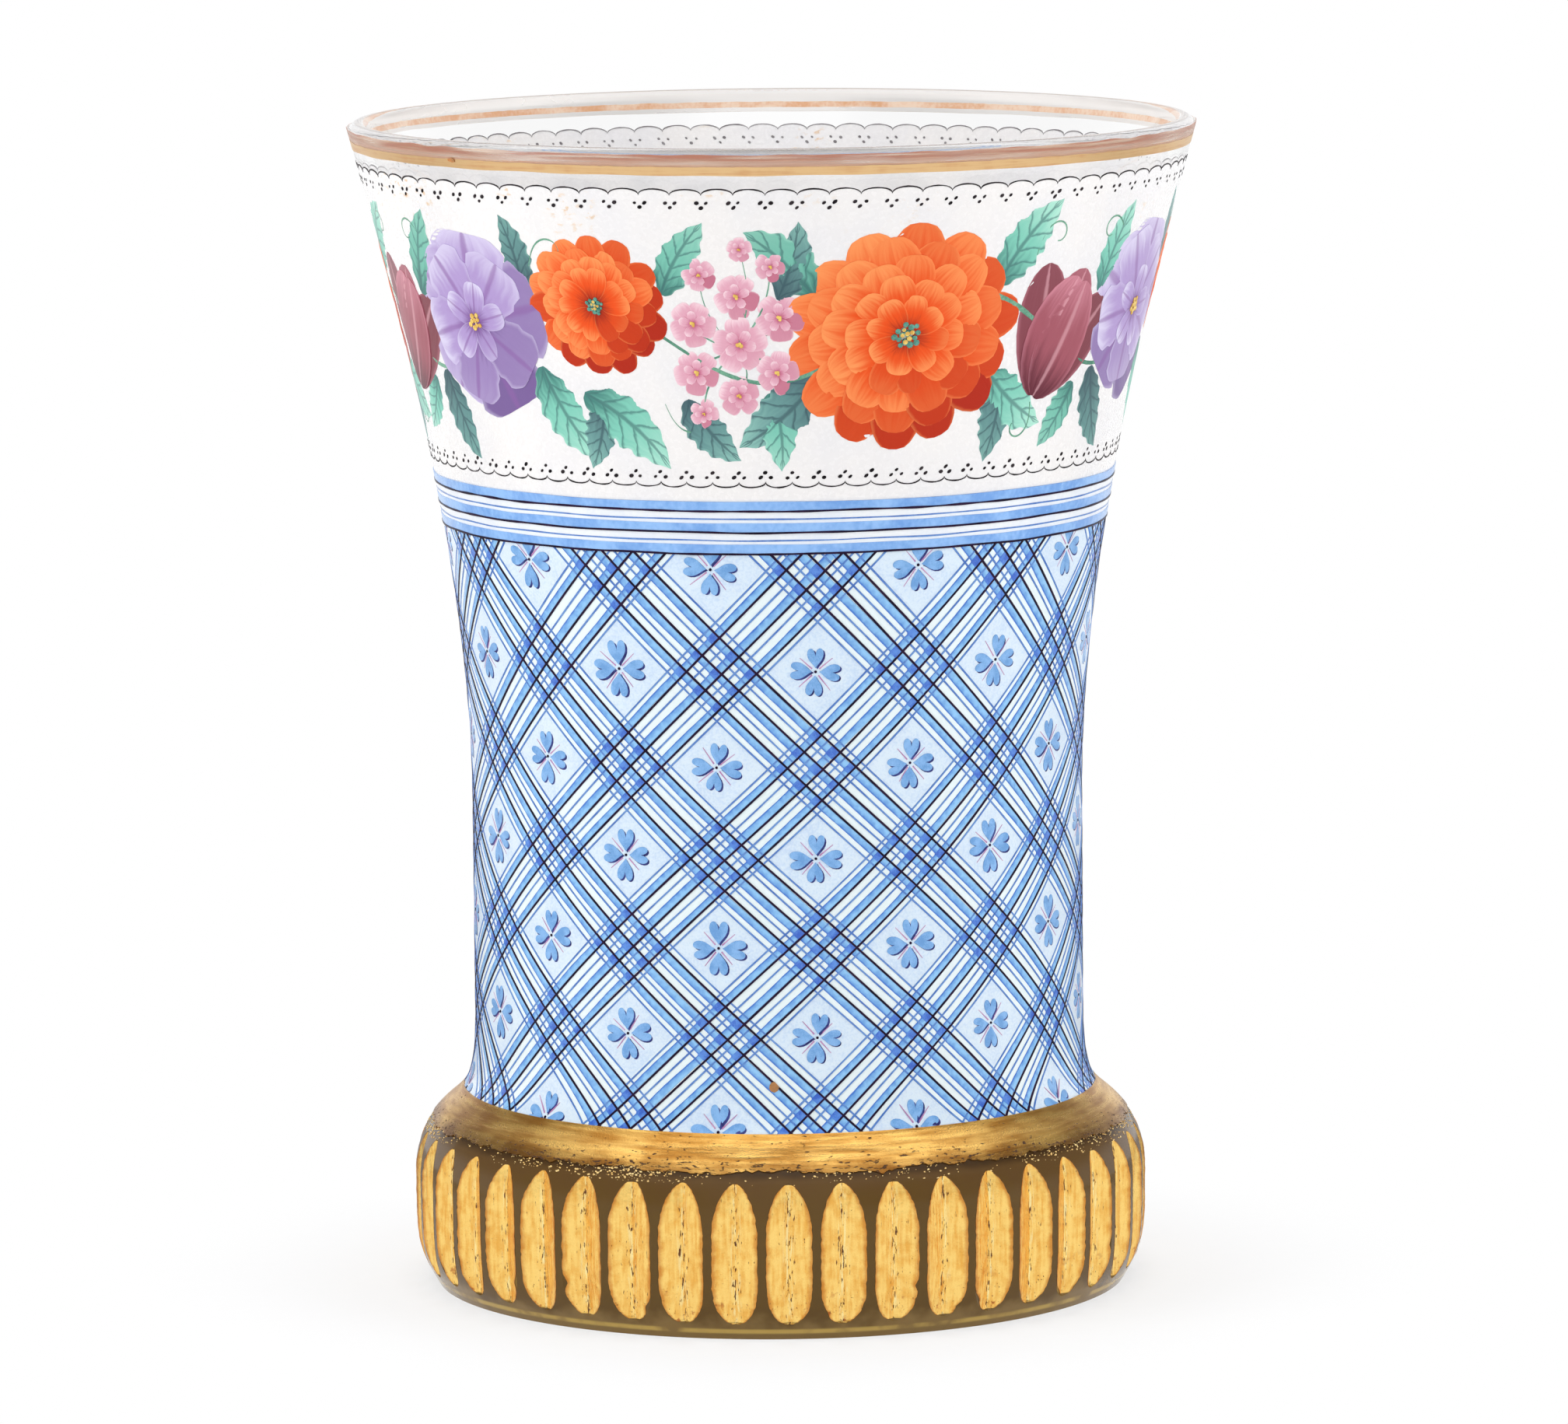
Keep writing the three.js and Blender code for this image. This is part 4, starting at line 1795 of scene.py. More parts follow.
BANDS = {
    Slant.FALLING: [
        fine(0.2535), *washed(0.290, 0.357), fine(0.419), *washed(0.457, 0.529),
        fine(0.596), *washed(0.632, 0.703), fine(0.757),
    ],
    Slant.RISING: [
        fine(0.266), *washed(0.295, 0.361), fine(0.427), *washed(0.475, 0.547),
        fine(0.605), *washed(0.655, 0.714), fine(0.760),
    ],
}


@dataclass(frozen=True)
class Lattice:
    """Where the trellis lies: diamonds round the beaker, and rows that grow with the flare."""

    first_angle: float = 7.0
    diamonds: int = 10
    middle_height: float = 46.4
    row_rise: float = 8.8
    row_swell: float = 0.1
    row_flare: float = 0.043

    @property
    def pitch(self) -> float:
        """Degrees from one diamond to the next."""
        return 360.0 / self.diamonds

    def height(self, row: Numbers) -> Array:
        """The height of a row, which may be part of one."""
        return (
            self.middle_height + self.row_rise * row + self.row_swell * row**2
            + self.row_flare * row**3
        )

    def row(self, height: Numbers) -> Array:
        """The row at a height."""
        rows = np.linspace(-4.0, 4.0, 801)
        return np.interp(height, self.height(rows), rows)

    def angle(self, slant: Slant, place: Numbers, row: Numbers) -> Array:
        """The angle at a row of a stroke with that place, in pitches, at row 0."""
        return self.first_angle + self.pitch * (place - slant.value * row / 2)

    def maps(self, angle: Array, height: Array) -> Array:
        """The place of a point on the falling and the rising strokes."""
        row, turn = self.row(height), (angle - self.first_angle) / self.pitch
        return paired(turn + row / 2 + self.diamonds, turn - row / 2 + self.diamonds)


@dataclass
class Line:
    """One stroke as it was painted, with the places of its edges at each row."""

    slant: Slant
    stripe: Stripe
    place: float
    rows: Array
    near: Array
    far: Array

    def edges_at(self, row: float) -> Pair:
        """The stroke's two edges at a row."""
        near = float(np.interp(row, self.rows, self.near))
        return near, float(np.interp(row, self.rows, self.far))


@dataclass
class Trellis:
    """The pale ground, its plaid of blue and black strokes, and the florets between them."""

    hand: Hand
    lattice: Lattice = field(default_factory=Lattice)
    step: float = 1.1
    bevel: float = 0.14
    crossing_lift: float = 0.064
    sunk: float = -0.01
    sway: float = 0.004
    drift: float = 0.005
    press: float = 0.1
    wash_edges: Pair = (0.005, 0.002)

    def __post_init__(self) -> None:
        """Finds how low and how high the coat goes."""
        self.low, self.high = band("trellis_enamel")

    def make(self) -> Iterator[Object]:
        """Makes the ground, the strokes, their crossings and the florets.

        Returns:
            The pieces, one by one.
        """
        skin = Skin(self.low, self.high, columns=240, behind=(1, 1))
        node, maps = "trellis_enamel", {"Lattice": self.lattice.maps}
        finishes = [TrellisGround(), FriezeWhite()]
        yield skin.make("trellis_ground", finishes, node, [node], maps=maps)
        lines = [line for slant in Slant for line in self._drawn(slant)]
        kinds = {kind: [line for line in lines if line.stripe.kind is kind] for kind in Stroke}
        yield self._strokes("trellis_washes", kinds[Stroke.WASH], BlueWash())
        yield self._strokes("trellis_fine_lines", kinds[Stroke.FINE], FINE_BLUE)
        yield self._strokes("trellis_black_lines", kinds[Stroke.OUTLINE], OUTLINE_BLACK)
        yield self._crossings(kinds[Stroke.WASH])
        yield Florets(self.hand, self.lattice, self.high).make()

    def _drawn(self, slant: Slant) -> list[Line]:
        """Draws every stroke that runs one way, each a little off its true place.

        Args:
            slant: The way that they run.

        Returns:
            The strokes, pitch by pitch.
        """
        rows = self.lattice.row(FORM.levels(self.low, self.high, self.step))
        lines = []
        for diamond in range(self.lattice.diamonds):
            sway = self.hand.stray(rows, self.sway, 0.1, 0.4)
            for stripe in BANDS[slant]:
                drift = sway + self.hand.stray(rows, self.drift, 0.15, 0.7)
                width = stripe.end - stripe.start
                press = 1.0 + self.hand.stray(rows, self.press, 0.4, 1.6)
                if stripe.kind is Stroke.WASH:
                    near, far = (
                        edge + self.hand.stray(rows, size, 0.5, 1.8)
                        for edge, size in zip((stripe.start, stripe.end), self.wash_edges)
                    )
                else:
                    middle = (stripe.start + stripe.end) / 2
                    near, far = middle - width / 2 * press, middle + width / 2 * press
                lines.append(Line(
                    slant, stripe, float(diamond), rows,
                    diamond + near + drift, diamond + far + drift,
                ))
        return lines

    def _strokes(self, name: str, lines: list[Line], finish: Finish) -> Object:
        """Makes strokes of one kind as one piece.

        Args:
            name: The piece's name.
            lines: The strokes.
            finish: Their paint.

        Returns:
            The new object.
        """
        build = Build()
        across = np.array([0.0, self.bevel, 1.0 - self.bevel, 1.0])
        for number, line in enumerate(lines):
            height, lift = self.lattice.height(line.rows), line.stripe.kind.value
            near = self.lattice.angle(line.slant, line.near, line.rows)
            far = self.lattice.angle(line.slant, line.far, line.rows)
            in_from = (far - near) * self.bevel
            sections = strip(
                (near, height, self.sunk), (near + in_from, height, lift),
                (far - in_from, height, lift), (far, height, self.sunk),
            )
            along = np.linspace(0.0, 1.0, len(height))[:, None]
            lane = paired(along, (number + 0.1 + 0.8 * across) / len(lines))
            build.tube(sections, paired(across, along), False, bake=lane)
        return build.make(name, [finish], "blue_enamel", baked=True)

    def _crossings(self, washes: list[Line]) -> Object:
        """Deepens the blue where two washes lie over each other.

        Args:
            washes: The washes, both ways.

        Returns:
            The new object.
        """
        build = Build()
        low, high = self.lattice.row(self.low), self.lattice.row(self.high)
        falling, rising = ([line for line in washes if line.slant is slant] for slant in Slant)
        count = self.lattice.diamonds
        for first, second in product(falling, rising):
            gap = first.place + first.stripe.start - second.place - second.stripe.start
            turns = round(gap / count) * count
            row = gap - turns
            if not low < row < high or abs(row) > count / 2:
                continue
            places = np.array([
                (one, one - other - turns)
                for one, other in product(first.edges_at(row), second.edges_at(row))
            ])
            rows = np.clip(places[:, 1], low, high)
            angles = self.lattice.angle(Slant.FALLING, places[:, 0], rows)
            heights = self.lattice.height(rows)
            top, under = (
                FORM.place(angles, heights, lift).reshape(2, 2, 3)
                for lift in (self.crossing_lift, 0.0)
            )
            build.slab(top, under, paired(*np.indices((2, 2))))
        return build.make("trellis_crossings", [CROSSED_BLUE], "blue_enamel")


@dataclass
class Florets:
    """A floret in each diamond: four hearts with their points in, four rays and a dot."""

    hand: Hand
    lattice: Lattice
    top: float
    length: float = 2.1
    width: float = 1.72
    notch: float = 0.62
    clear: float = 0.36
    ray_start: float = 0.45
    ray_end: float = 2.25
    ray_width: float = 0.15
    dot_radius: float = 0.14
    shade_slip: Pair = (0.17, -0.15)
    slip_stray: float = 0.04
    heart_lift: float = 0.062
    shade_lift: float = 0.04
    ray_lift: float = 0.035
    dot_lift: float = 0.08
    dome: float = 0.02
    sunk: float = -0.01

    @cached_property
    def heart(self) -> Array:
        """The outline of one heart, with its point at the origin and its notch out.

        Returns:
            Its corners, in millimetres.
        """
        side = [
            ((0.0, 0.0), (0.14, 0.22), (0.5, 0.4), (0.5, 0.72)),
            ((0.5, 0.72), (0.5, 0.93), (0.38, 1.0), (0.28, 1.0)),
            ((0.28, 1.0), (0.16, 1.0), (0.05, 0.9), (0.0, self.notch)),
        ]
        right = np.concatenate([bezier(curve, 5)[:-1] for curve in side])
        left = right[1:][::-1] * [-1.0, 1.0]
        notch = np.array([[0.0, self.notch]])
        return np.concatenate([right, notch, left]) * [self.width, self.length]

    def make(self) -> Object:
        """Makes the florets of every diamond as one piece.

        Returns:
            The new object.
        """
        build = Build()
        for row in range(-3, 4):
            height = float(self.lattice.height(row))
            size = float(FORM.radius(height)) / FORM.waist_radius
            for diamond in range(self.lattice.diamonds):
                angle = self.lattice.angle(Slant.FALLING, diamond + row / 2 + row % 2 / 2, row)
                self._floret(build, Spot(float(angle), height, top=self.top), size)
        finishes = [HEART_BLUE, HEART_SHADE, RAY_MAUVE, OUTLINE_BLACK]
        return build.make("trellis_florets", finishes, "blue_enamel")

    def _floret(self, build: Build, spot: Spot, size: float) -> None:
        """Adds one floret, a little off in size and turn.

        Args:
            build: Its piece.
            spot: Its place.
            size: Its size as a share of one at the waist.
        """
        def blot(flat: Array, middle: Array, lift: float, finish: int) -> None:
            """Adds one low blot with a flat outline."""
            spot.blot(build, flat, (lift, lift + self.dome, self.sunk), middle, finish)

        blue, shaded, mauve, black = range(4)
        size = self.hand.near(size, 0.05)
        lean = self.hand.near(0.0, 5.0)
        for quarter in range(4):
            turn = math.radians(quarter * 90.0 + lean + self.hand.near(0.0, 6.0))
            grown = size * self.hand.near(1.0, 0.07)
            spin = np.array([[math.cos(turn), math.sin(turn)], [-math.sin(turn), math.cos(turn)]])
            heart = (self.heart * grown + [0.0, self.clear * size]) @ spin
            middle = (np.array([0.0, self.clear * size + self.length * 0.52 * grown])) @ spin
            slip = [self.hand.near(meant, self.slip_stray) for meant in self.shade_slip]
            slip = np.array(slip) * size
            blot(heart * 0.98 + slip, middle + slip, self.shade_lift, shaded)
            blot(heart, middle, self.heart_lift, blue)
            side = turn + math.radians(45.0 + self.hand.near(0.0, 5.0))
            way = np.array([-math.sin(side), math.cos(side)])
            across = np.array([way[1], -way[0]]) * self.ray_width / 2
            end = self.hand.near(self.ray_end, 0.25) * size
            ray = np.array([
                way * self.ray_start + across, way * end + across * 0.4,
                way * end - across * 0.4, way * self.ray_start - across,
            ])
            blot(ray, way * (self.ray_start + end) / 2, self.ray_lift, mauve)
        blot(circle(8) * self.dot_radius * size, np.zeros(2), self.dot_lift, black)


# Stripes


@dataclass
class Stripes:
    """Three blue rings with a black line under each, and fine lines on the white between."""

    hand: Hand
    count: int = 3
    black_drop: float = 0.04
    black_width: float = 0.24
    fine_width: float = 0.17
    fine_share: float = 0.34
    black_lift: float = 0.17
    fine_lift: float = 0.1

    def _ring_line(self, build: Build, height: float, width: float, lift: float) -> None:
        """Adds one thin line that goes all the way round.

        Args:
            build: Its piece.
            height: Its middle, over the table.
            width: Its width.
            lift: How far its paint stands out.
        """
        angle = full_turn(360)[:-1]
        middle = height + self.hand.round_trip(angle, 0.07, 24)
        half = width / 2 * (1.0 + self.hand.round_trip(angle, 0.35, 60))
        sections = strip(*[
            (angle, middle + half * aside, out)
            for aside, out in ((-1.0, 0.0), (-0.75, lift), (0.75, lift), (1.0, 0.0))
        ])
        build.tube(sections, np.zeros((*sections.shape[:2], 2)), True)

    def make(self) -> Iterator[Object]:
        """Makes the rings and the lines.

        Returns:
            The pieces, one by one.
        """
        blacks, fines = Build(), Build()
        columns = 240
        for number in range(1, self.count + 1):
            node = f"blue_stripe_{number:02d}"
            low, high = band(node)
            ring = Skin(low, high, 0.125, columns=columns, step=0.4)
            edges = 0.0, self.hand.round_trip(full_turn(columns), 0.07, 30)
            name = f"stripe_blue_{number:02d}"
            yield ring.make(name, [STRIPE_BLUE], "blue_enamel", [node], edges)
            self._ring_line(blacks, low + self.black_drop, self.black_width, self.black_lift)
            if number == self.count:
                continue
            node = f"white_line_{number:02d}"
            low, high = band(node)
            ring = Skin(low - 0.1, high + 0.1, 0.06, columns=columns, step=0.5)
            yield ring.make(f"stripe_white_{number:02d}", [STRIPE_WHITE], "white_enamel", [node])
            level = low + (high - low) * self.fine_share
            self._ring_line(fines, level, self.fine_width, self.fine_lift)
        yield blacks.make("stripe_black_lines", [OUTLINE_BLACK], "blue_enamel")
        yield fines.make("stripe_fine_lines", [FINE_BLUE], "blue_enamel")


# Frieze


@dataclass
class Lace:
    """One lace border: a scalloped line and a group of three dots at each cusp."""

    hand: Hand
    crest: float
    cusp: float
    pair: float
    single: float
    start: float
    scallops: int = 84
    samples: int = 10
    width: float = 0.135
    dot: float = 0.17
    pair_apart: float = 0.5

    def edge(self, angle: Array) -> Array:
        """The height of the scalloped line at each angle.

        Args:
            angle: Degrees round the axis.

        Returns:
            The heights, in millimetres.
        """
        share = ((angle - self.start) * self.scallops / 360.0) % 1.0
        arch = np.sqrt(np.clip(1.0 - (2.0 * share - 1.0) ** 2, 0.0, 1.0))
        return self.cusp + (self.crest - self.cusp) * arch

    def lay(self, build: Build) -> None:
        """Adds the line and its dots to a piece.

        Args:
            build: Its piece.
        """
        count = self.scallops * self.samples
        swing = np.linspace(0.0, math.pi, self.samples + 1)[:-1]
        share = (1.0 - np.cos(swing)) / 2
        angle = (np.arange(self.scallops)[:, None] + share).ravel() * 360.0 / self.scallops
        height = self.edge(angle + self.start + 1e-6)
        height = height + self.hand.round_trip(angle, 0.05, 80)
        half = self.width / 2 * (1.0 + self.hand.round_trip(angle, 0.5, 200))
        sections = strip(*[
            (angle + self.start, height + half * aside, lift)
            for aside, lift in ((-0.75, -0.07), (-0.9, 0.05), (0.9, 0.05), (0.75, -0.07))
        ])
        build.tube(sections, np.zeros((count, 4, 2)), True, [0, 0, 0, 1] * count)
        for scallop in range(self.scallops):
            middle = self.start + scallop * 360.0 / self.scallops
            for side in (-1.0, 0.0, 1.0):
                level = self.single if side == 0.0 else self.pair
                self._dot(build, middle, side * self.pair_apart, level)

    def _dot(self, build: Build, angle: float, aside: float, level: float) -> None:
        """Adds one dot, drawn out a little by the brush.

        Args:
            build: Its piece.
            angle: The angle of its cusp.
            aside: Millimetres to the right of the cusp.
            level: Its height.
        """
        across, up = circle(8).T
        size = self.hand.near(self.dot, 0.035)
        lean = self.hand.near(0.6, 0.5)
        x = size * 1.25 * across
        y = size * up + x * lean * 0.4
        aside = self.hand.near(aside, 0.06)
        spot = Spot(angle, self.hand.near(level, 0.04))
        rim, under = (
            spot.lay(paired(x * part + aside, y * part), out)
            for part, out in ((1.0, 0.045), (0.75, -0.07))
        )
        build.pad(rim, spot.lay(np.array([aside, 0.0]), 0.075), under, 0, 1)


@dataclass(frozen=True)
class Petal:
    """The flat shape of one petal or leaf."""

    length: float
    width: float
    widest: float = 0.64
    fullness: float = 1.2
    curl: float = 0.0
    ruffle: float = 0.0
    ruffles: float = 3.0
    rows: int = 12
    columns: int = 5

    def grid(self) -> tuple[Array, Array, Array]:
        """Points of the petal, with its root at the origin and its tip along y.

        Returns:
            The flat points, their places across and along the petal, and its crown.
        """
        along = 0.5 - 0.5 * np.cos(np.linspace(0.25, 3.075, self.rows)[:, None])
        across = np.linspace(-1.0, 1.0, self.columns)
        rise, fall = self.fullness * self.widest, self.fullness * (1.0 - self.widest)
        half = (along / self.widest) ** rise * ((1.0 - along) / (1.0 - self.widest)) ** fall
        half = half * self.width / 2 * (1.0 + self.ruffle * np.sin(along * math.tau * self.ruffles))
        bend = self.curl * along
        if abs(self.curl) > 1e-6:
            x = self.length / self.curl * (1.0 - np.cos(bend))
            y = self.length / self.curl * np.sin(bend)
        else:
            x, y = np.zeros_like(along), self.length * along
        flat = paired(x + across * half * np.cos(bend), y - across * half * np.sin(bend))
        uv = paired((across + 1.0) / 2, along)
        crown = (1.0 - across**2) * np.sin(np.pi * along)
        return flat, uv, crown


@dataclass(frozen=True)
class Whorl:
    """One ring of petals in a blossom."""

    petal: Petal
    count: int
    start: float
    first: float = 0.0
    tone: float = 0.6


@dataclass
class Brush:
    """Paints motifs on the frieze, each coat a little over the last.

    The painted light comes from a way in degrees clockwise from up.
    """

    hand: Hand
    coat: float = 0.03
    first: float = 0.035
    crown: float = 0.025
    sunk: float = -0.03
    golden_angle: float = 2.39996
    light: float = -40.0
    lit_share: float = 0.24
    tone_stray: float = 0.2
    size_stray: float = 0.06
    curl_stray: float = 0.12

    def petal(
        self, build: Build, spot: Spot, petal: Petal, root: Pair, turn: float,
        layer: float, tone: float, finish: int = 0,
    ) -> None:
        """Paints one petal.

        Args:
            build: Its piece.
            spot: The motif's place.
            petal: The petal's shape.
            root: Where its root lies in the motif, in millimetres.
            turn: Its way, in degrees clockwise from up.
            layer: How many coats lie under it.
            tone: How light its paint is.
            finish: The number of its finish.
        """
        flat, uv, crown = petal.grid()
        way = math.radians(turn)
        x = root[0] + flat[..., 0] * math.cos(way) + flat[..., 1] * math.sin(way)
        y = root[1] - flat[..., 0] * math.sin(way) + flat[..., 1] * math.cos(way)
        laid = paired(x, y)
        tilt = 0.4 * self.coat * (uv[..., 0] * 2.0 - 1.0)
        lift = self.first + self.coat * layer + tilt + self.crown * crown
        top = spot.lay(laid, lift)
        under = spot.lay(laid, self.sunk)
        build.slab(top, under, uv, float(np.clip(tone, 0.0, 1.0)), finish)

    def whorls(self, build: Build, spot: Spot, whorls: Sequence[Whorl]) -> None:
        """Paints rings of petals, the outer one first.

        Args:
            build: Their piece.
            spot: The blossom's place.
            whorls: Its rings, from the outer one in.
        """
        for layer, whorl in enumerate(whorls):
            for number in range(whorl.count):
                turn = whorl.first + 360.0 / whorl.count * (number + self.hand.near(0.0, 0.09))
                facing = math.cos(math.radians(turn + spot.turn - self.light))
                tone = whorl.tone + self.lit_share * facing + self.hand.near(0.0, self.tone_stray)
                shape = replace(
                    whorl.petal,
                    length=whorl.petal.length * self.hand.near(1.0, self.size_stray),
                    width=whorl.petal.width * self.hand.near(1.0, self.size_stray),
                    curl=whorl.petal.curl + self.hand.near(0.0, self.curl_stray),
                )
                way = math.radians(turn)
                root = (whorl.start * math.sin(way), whorl.start * math.cos(way))
                self.petal(build, spot, shape, root, turn, layer * 1.3 + number % 2 * 0.5, tone)

    def dots(
        self, build: Build, spot: Spot, reach: float, count: int, size: float, layer: float,
        finish: int = 0,
    ) -> None:
        """Paints a close group of dots, spread evenly over a disc.

        Args:
            build: Its piece.
            spot: Its place.
            reach: The disc's radius.
            count: How many dots it has.
            size: The radius of a dot.
            layer: How many coats lie under it.
            finish: The number of its finish.
        """
        lift = self.first + self.coat * layer
        for number in range(count):
            far, way = reach * math.sqrt((number + 0.5) / count), number * self.golden_angle
            middle = np.array([far * math.sin(way), far * math.cos(way)])
            wide = size * self.hand.near(1.0, 0.2)
            lifts = lift, lift + wide * 0.35, self.sunk
            spot.blot(build, middle + circle(7) * wide, lifts, middle, finish)

    def stem(self, build: Build, points: Array, width: float, layer: float) -> None:
        """Paints a stem along angles and heights.

        Args:
            build: Its piece.
            points: Rows of an angle in degrees and a height in millimetres.
            width: Its full width in the middle.
            layer: How many coats lie under it.
        """
        angle, height = points[:, 0], points[:, 1]
        reach = FORM.radius(height)
        flat = paired(np.radians(angle) * reach, height)
        way = np.gradient(flat, axis=0)
        way /= np.linalg.norm(way, axis=1)[:, None]
        side = paired(-way[:, 1], way[:, 0])
        taper = width / 2 * (0.55 + 0.45 * np.sin(np.linspace(0.25, 2.9, len(points))))
        lift = 0.05 + self.coat * layer
        edges = []
        for aside, out in ((-1.0, self.sunk), (-0.6, lift), (0.6, lift), (1.0, self.sunk)):
            moved = flat + side * (taper * aside)[:, None]
            edges.append((np.degrees(moved[:, 0] / reach), moved[:, 1], out))
        sections = strip(*edges)
        build.tube(sections, np.full((*sections.shape[:2], 2), 0.5), False)


GARLAND_PAINTS = {
    "orange": [ORANGE],
    "violet": [VIOLET],
    "maroon": [MAROON],
    "pink": [PINK],
    "leaves": [LEAF, LEAF_SHADE],
    "stems": [STEM_GREEN],
    "bosses": [BOSS_GOLD, BOSS_GREEN],
}


@dataclass
class Garland:
    """A running garland of starry blossoms, bells, tulips and small flowers, in three repeats."""

    hand: Hand
    repeats: int = 3
    first_angle: float = 20.0
    middle: float = 97.4
    wave: float = 4.2

    def __post_init__(self) -> None:
        """Wets the brush, and sets out a pot for each colour."""
        self.brush = Brush(self.hand)
        self.pots = {name: Build() for name in GARLAND_PAINTS}

    def _stem(self, angle: Array, height: Array, width: float, layer: float) -> None:
        """Paints one green stem along angles and heights."""
        self.brush.stem(self.pots["stems"], paired(angle, height), width, layer)

    def _bosses(self, spot: Spot, *dots: tuple[float, int, float, float, int]) -> None:
        """Paints groups of dots, each with its reach, count, size, layer and finish."""
        for group in dots:
            self.brush.dots(self.pots["bosses"], spot, *group)

    def make(self) -> Iterator[Object]:
        """Paints every repeat, colour by colour.

        Returns:
            The pieces, one by one.
        """
        for angle in full_turn(240)[:-1].reshape(6, 40):
            angle = np.append(angle, angle[0] + 60.0)
            turn = np.radians((angle - self.first_angle) * self.repeats)
            self._stem(angle, self.middle + self.wave * np.sin(2.0 * turn + 0.6), 0.75, 0.0)
        for repeat in range(self.repeats):
            start = self.first_angle + repeat * 360.0 / self.repeats
            self._foliage(start)
            self._star(Spot(start, 97.6, self.hand.near(0.0, 10.0), 1.18, 0.93), 5)
            self._tulip(Spot(start + 28.0, 96.6, 22.0, 1.16))
            self._bell(Spot(start + 50.0, 98.2, 8.0, 1.14, 0.96))
            self._star(Spot(start + 73.5, 100.6, 30.0, 0.74, 0.92), 4)
            self._posy(start + 94.5)
        for name, finishes in GARLAND_PAINTS.items():
            yield self.pots[name].make(f"garland_{name}", finishes, "white_enamel")

    def _star(self, spot: Spot, rings: int) -> None:
        """Paints a full blossom of many pointed petals with a green and gold boss.

        Args:
            spot: Its place.
            rings: How many of its five rings of petals it has.
        """
        whorls = [
            Whorl(Petal(8.4, 4.6, 0.62, 0.95, ruffle=0.03), 14, 1.6, 0.0, 0.36),
            Whorl(Petal(7.4, 4.2, 0.62, 0.95, ruffle=0.03), 13, 1.1, 13.0, 0.5),
            Whorl(Petal(6.1, 3.7, 0.64, 0.95), 12, 0.9, 3.0, 0.6),
            Whorl(Petal(4.6, 3.0, 0.64, 0.95), 10, 0.7, 20.0, 0.7),
            Whorl(Petal(3.1, 2.3, 0.64, 0.95), 8, 0.5, 8.0, 0.82),
        ]
        self.brush.whorls(self.pots["orange"], spot, whorls[:rings])
        self._bosses(spot, (1.15, 17, 0.26, 7.0, 1), (0.65, 6, 0.2, 8.5, 0))

    def _bell(self, spot: Spot) -> None:
        """Paints an open bell of five broad lobes with a darker vein down each.

        Args:
            spot: Its place.
        """
        whorls = [
            Whorl(Petal(7.6, 8.6, 0.7, 0.7, 0.0, 0.05, 4.0, 18, 9), 5, 0.3, 0.0, 0.44),
            Whorl(Petal(6.7, 6.0, 0.72, 0.75, 0.0, 0.05, 4.0, 18, 7), 5, 0.2, 36.0, 0.66),
            Whorl(Petal(3.6, 2.6, 0.66, 0.9), 5, 0.2, 0.0, 0.86),
        ]
        self.brush.whorls(self.pots["violet"], spot, whorls)
        self._bosses(spot, (0.75, 9, 0.24, 5.5, 0))

    def _tulip(self, spot: Spot) -> None:
        """Paints a tulip from the side, three petals behind and two in front.

        Args:
            spot: Its place.
        """
        back, front = Petal(11.4, 5.4, 0.56, 1.2), Petal(10.6, 6.0, 0.5, 1.15)
        root = (0.0, -5.6)
        for turn, layer, tone in ((-24.0, 0.0, 0.3), (24.0, 0.3, 0.26), (0.0, 0.8, 0.46)):
            self.brush.petal(self.pots["maroon"], spot, back, root, turn, layer, tone)
        for turn, curl, layer, tone in ((-13.0, 0.34, 1.8, 0.76), (13.0, -0.34, 2.5, 0.6)):
            shape = replace(front, curl=curl)
            self.brush.petal(self.pots["maroon"], spot, shape, root, turn, layer, tone)

    def _posy(self, angle: float) -> None:
        """Paints a loose posy of small five-petalled flowers on thin stems.

        Args:
            angle: The angle of its middle.
        """
        whorl = [
            Whorl(Petal(1.9, 1.9, 0.66, 0.75, rows=8, columns=4), 5, 0.15, 0.0, 0.55),
            Whorl(Petal(1.1, 0.8, 0.6, 0.9, rows=5, columns=4), 5, 0.15, 36.0, 0.85),
        ]
        places = (
            (-4.0, 1.6, 1.1), (0.2, 4.3, 1.05), (4.2, 2.2, 1.15), (0.4, -0.4, 1.3),
            (-3.9, -3.2, 1.05), (4.0, -3.2, 1.0), (0.2, -5.4, 0.95), (-3.2, 6.4, 0.8),
            (3.4, 7.2, 0.72), (0.6, 8.9, 0.6), (-3.4, -7.2, 0.7),
        )
        reach = float(FORM.radius(self.middle))
        climb = np.linspace(0.0, 1.0, 9)
        for x, y, size in places:
            around, up = angle + math.degrees(x / reach), self.middle + y
            bow = 1.4 * np.sin(math.pi * climb) * (1 if x > 0 else -1)
            path = angle * (1.0 - climb) + around * climb + bow
            self._stem(path, (self.middle - 1.0) * (1.0 - climb) + up * climb, 0.3, -0.3)
            spot = Spot(around, up, self.hand.near(0, 40), size)
            self.brush.whorls(self.pots["pink"], spot, whorl)
            self._bosses(spot, (0.18, 3, 0.15, 2.4, 0))

    def _leaf(
        self, angle: float, height: float, turn: float, length: float, width: float, curl: float,
        finish: int,
    ) -> None:
        """Paints one toothed leaf.

        Args:
            angle: The angle of its root.
            height: The height of its root.
            turn: Its way, in degrees clockwise from up.
            length: Its length.
            width: Its width.
            curl: How far it bends, in radians.
            finish: The number of its finish.
        """
        shape = Petal(length, width, 0.42, 1.5, curl, 0.11, 6.0, 38, 7)
        tone = self.hand.near(0.6, 0.2)
        spot, root = Spot(angle, height), (0.0, 0.0)
        self.brush.petal(self.pots["leaves"], spot, shape, root, turn, -0.4, tone, finish)

